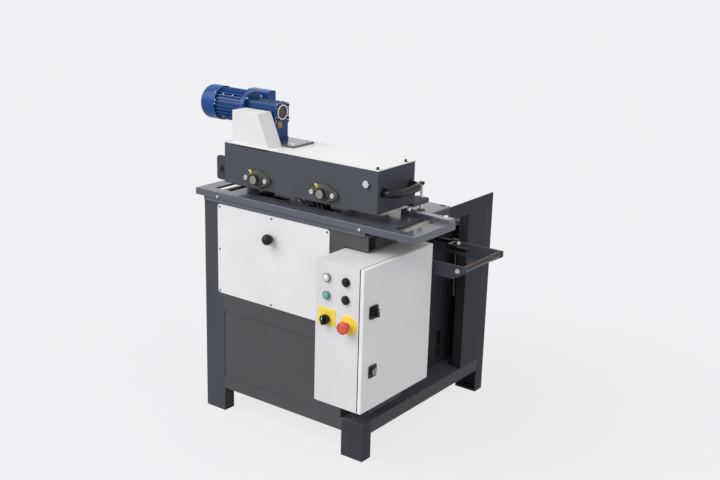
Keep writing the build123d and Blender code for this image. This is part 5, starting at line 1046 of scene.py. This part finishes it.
def add_control_trim():
    """Seal, button domes and rings, collar and knob marks of the control box."""
    low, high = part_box("enclosure_door")
    maker = bmesh.new()
    edge = Vector((0, SEAL_INSET, SEAL_INSET)) * MM
    strip_loop(maker, low.x - DOOR_GAP * MM, low + edge, high - edge, SEAL_WIDE, SEAL_THICK)
    finish_piece(maker, "door_seal", "base", "black_rubber")
    for node, body, finish in BUTTONS:
        fasten(node + "_dome", body, finish, BUTTON_DOME, node, [middle(node)], FORWARD)
        if finish != "black_plastic":
            add_bezel(node + "_ring", node, "grey_chrome", CHROME_RING)
    add_bezel("estop_collar", "estop_head", "yellow_plastic", ESTOP_COLLAR)
    half = MARK_HALF * MM
    knob = middle("selector_knob")
    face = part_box("selector_knob")[0].y
    mark_low = Vector((knob.x - half, face - MARK_OUT * MM, knob.z + MARK_FROM * MM))
    mark_high = Vector((knob.x + half, face + MARK_IN * MM, knob.z + MARK_TO * MM))
    place_block("selector_mark", "selector", "white_plastic", mark_low, mark_high, MARK_EDGE)
    knob = middle("mains_switch")
    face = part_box("mains_switch")[1].x
    mark_low = Vector((face - MARK_IN * MM, knob.y - half, knob.z + MARK_FROM * MM))
    mark_high = Vector((face + MARK_OUT * MM, knob.y + half, knob.z + MARK_TO * MM))
    place_block("switch_mark", "mains_knob", "white_plastic", mark_low, mark_high, MARK_EDGE)


# Places on the saw frame and its crank, in mm
ARM_BOLT_BACK = 19
ARM_BOLT_DROP = 7
CRANK_HUB_IN = 15


def add_saw_frame_fasteners():
    """Bolts of the swinging arms and the crank's nut."""
    bar = middle("lift_bar")
    tip = spots((bar.x - ARM_BOLT_BACK * MM,), zs=(bar.z - ARM_BOLT_DROP * MM,))
    fasten("arm_bolt_front", "saw_frame", "zinc", HEX_BOLT, "swing_frame", tip, FORWARD)
    fasten("arm_bolt_back", "saw_frame", "zinc", HEX_BOLT, "swing_frame", tip, BACKWARD)
    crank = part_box("lock_crank")[1]
    nut = spots(ys=(crank.y - CRANK_HUB_IN * MM,), zs=(crank.z - CRANK_HUB_IN * MM,))
    fasten("crank_nut", "crank", "zinc", DOMED_NUT, "lock_crank", nut, RIGHTWARD, size=0.6)


# Places on the height stop screw, in mm
THREAD_PITCH = 3
THREAD_DEPTH = 0.8
THREAD_RADIUS = 4.9
THREAD_FOOT = 46
STOP_HEAD_H = 9
STOP_NUT_RIM = 8


def add_stop_screw_detail():
    """Thread, black cap and lock nut of the height stop screw."""
    low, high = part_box("stop_screw")
    screw = middle("stop_screw")
    foot = Vector((screw.x, screw.y, low.z + THREAD_FOOT * MM))
    length = (high.z - foot.z) / MM - STOP_HEAD_H - THREAD_PITCH
    maker = bmesh.new()
    thread(maker, foot, length, THREAD_RADIUS, THREAD_PITCH, THREAD_DEPTH)
    finish_piece(maker, "stop_thread", "height_stop", "zinc")
    fasten("stop_cap", "height_stop", "satin_black", STOP_CAP, "stop_screw", [screw], UPWARD)
    fasten("stop_nut", "head", "zinc", STOP_NUT, "head_sides", [screw], UPWARD, ring=True, rim=STOP_NUT_RIM)


# Places on the table, in mm
FENCE_STUD_STEPS = (24, 176)
FENCE_STUD_IN = 12
FENCE_NUT_GAP = 0.6
TRIM_UP = 50
TRIM_RISE = 16
TRIM_OUT = 4
TRIM_IN = 2
TRIM_PAST = 90
TRIM_EDGE = 0.8


def add_table_trim():
    """Bright nuts on the fence studs, and the trim that closes the gap under the front lip; its lighter
    graphite is a painted highlight along the lip's lower edge.
    """
    low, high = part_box("fence_bar")
    stud_y = low.y + FENCE_STUD_IN * MM
    stud_top = high.z + FENCE_NUT_GAP * MM
    studs = [(Vector((low.x + step * MM, stud_y, stud_top)), UPWARD) for step in FENCE_STUD_STEPS]
    turn_piece("fence_nuts", "base", "zinc", FENCE_NUT, studs)
    low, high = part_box("front_fascia")
    trim_low = Vector((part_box("legs")[0].x, low.y - TRIM_OUT * MM, high.z + TRIM_UP * MM))
    trim_high = Vector((high.x + TRIM_PAST * MM, low.y + TRIM_IN * MM, trim_low.z + TRIM_RISE * MM))
    place_block("lip_trim", "base", "graphite_lit_edge", trim_low, trim_high, TRIM_EDGE)


place_camera()
light_studio()
lay_floor()
dress_nodes()
add_cabinet_fasteners()
add_head_fasteners()
add_drive_trim()
add_guard_trim()
add_control_trim()
add_saw_frame_fasteners()
add_stop_screw_detail()
add_table_trim()

scene = bpy.context.scene
scene.view_settings.view_transform = "Standard"
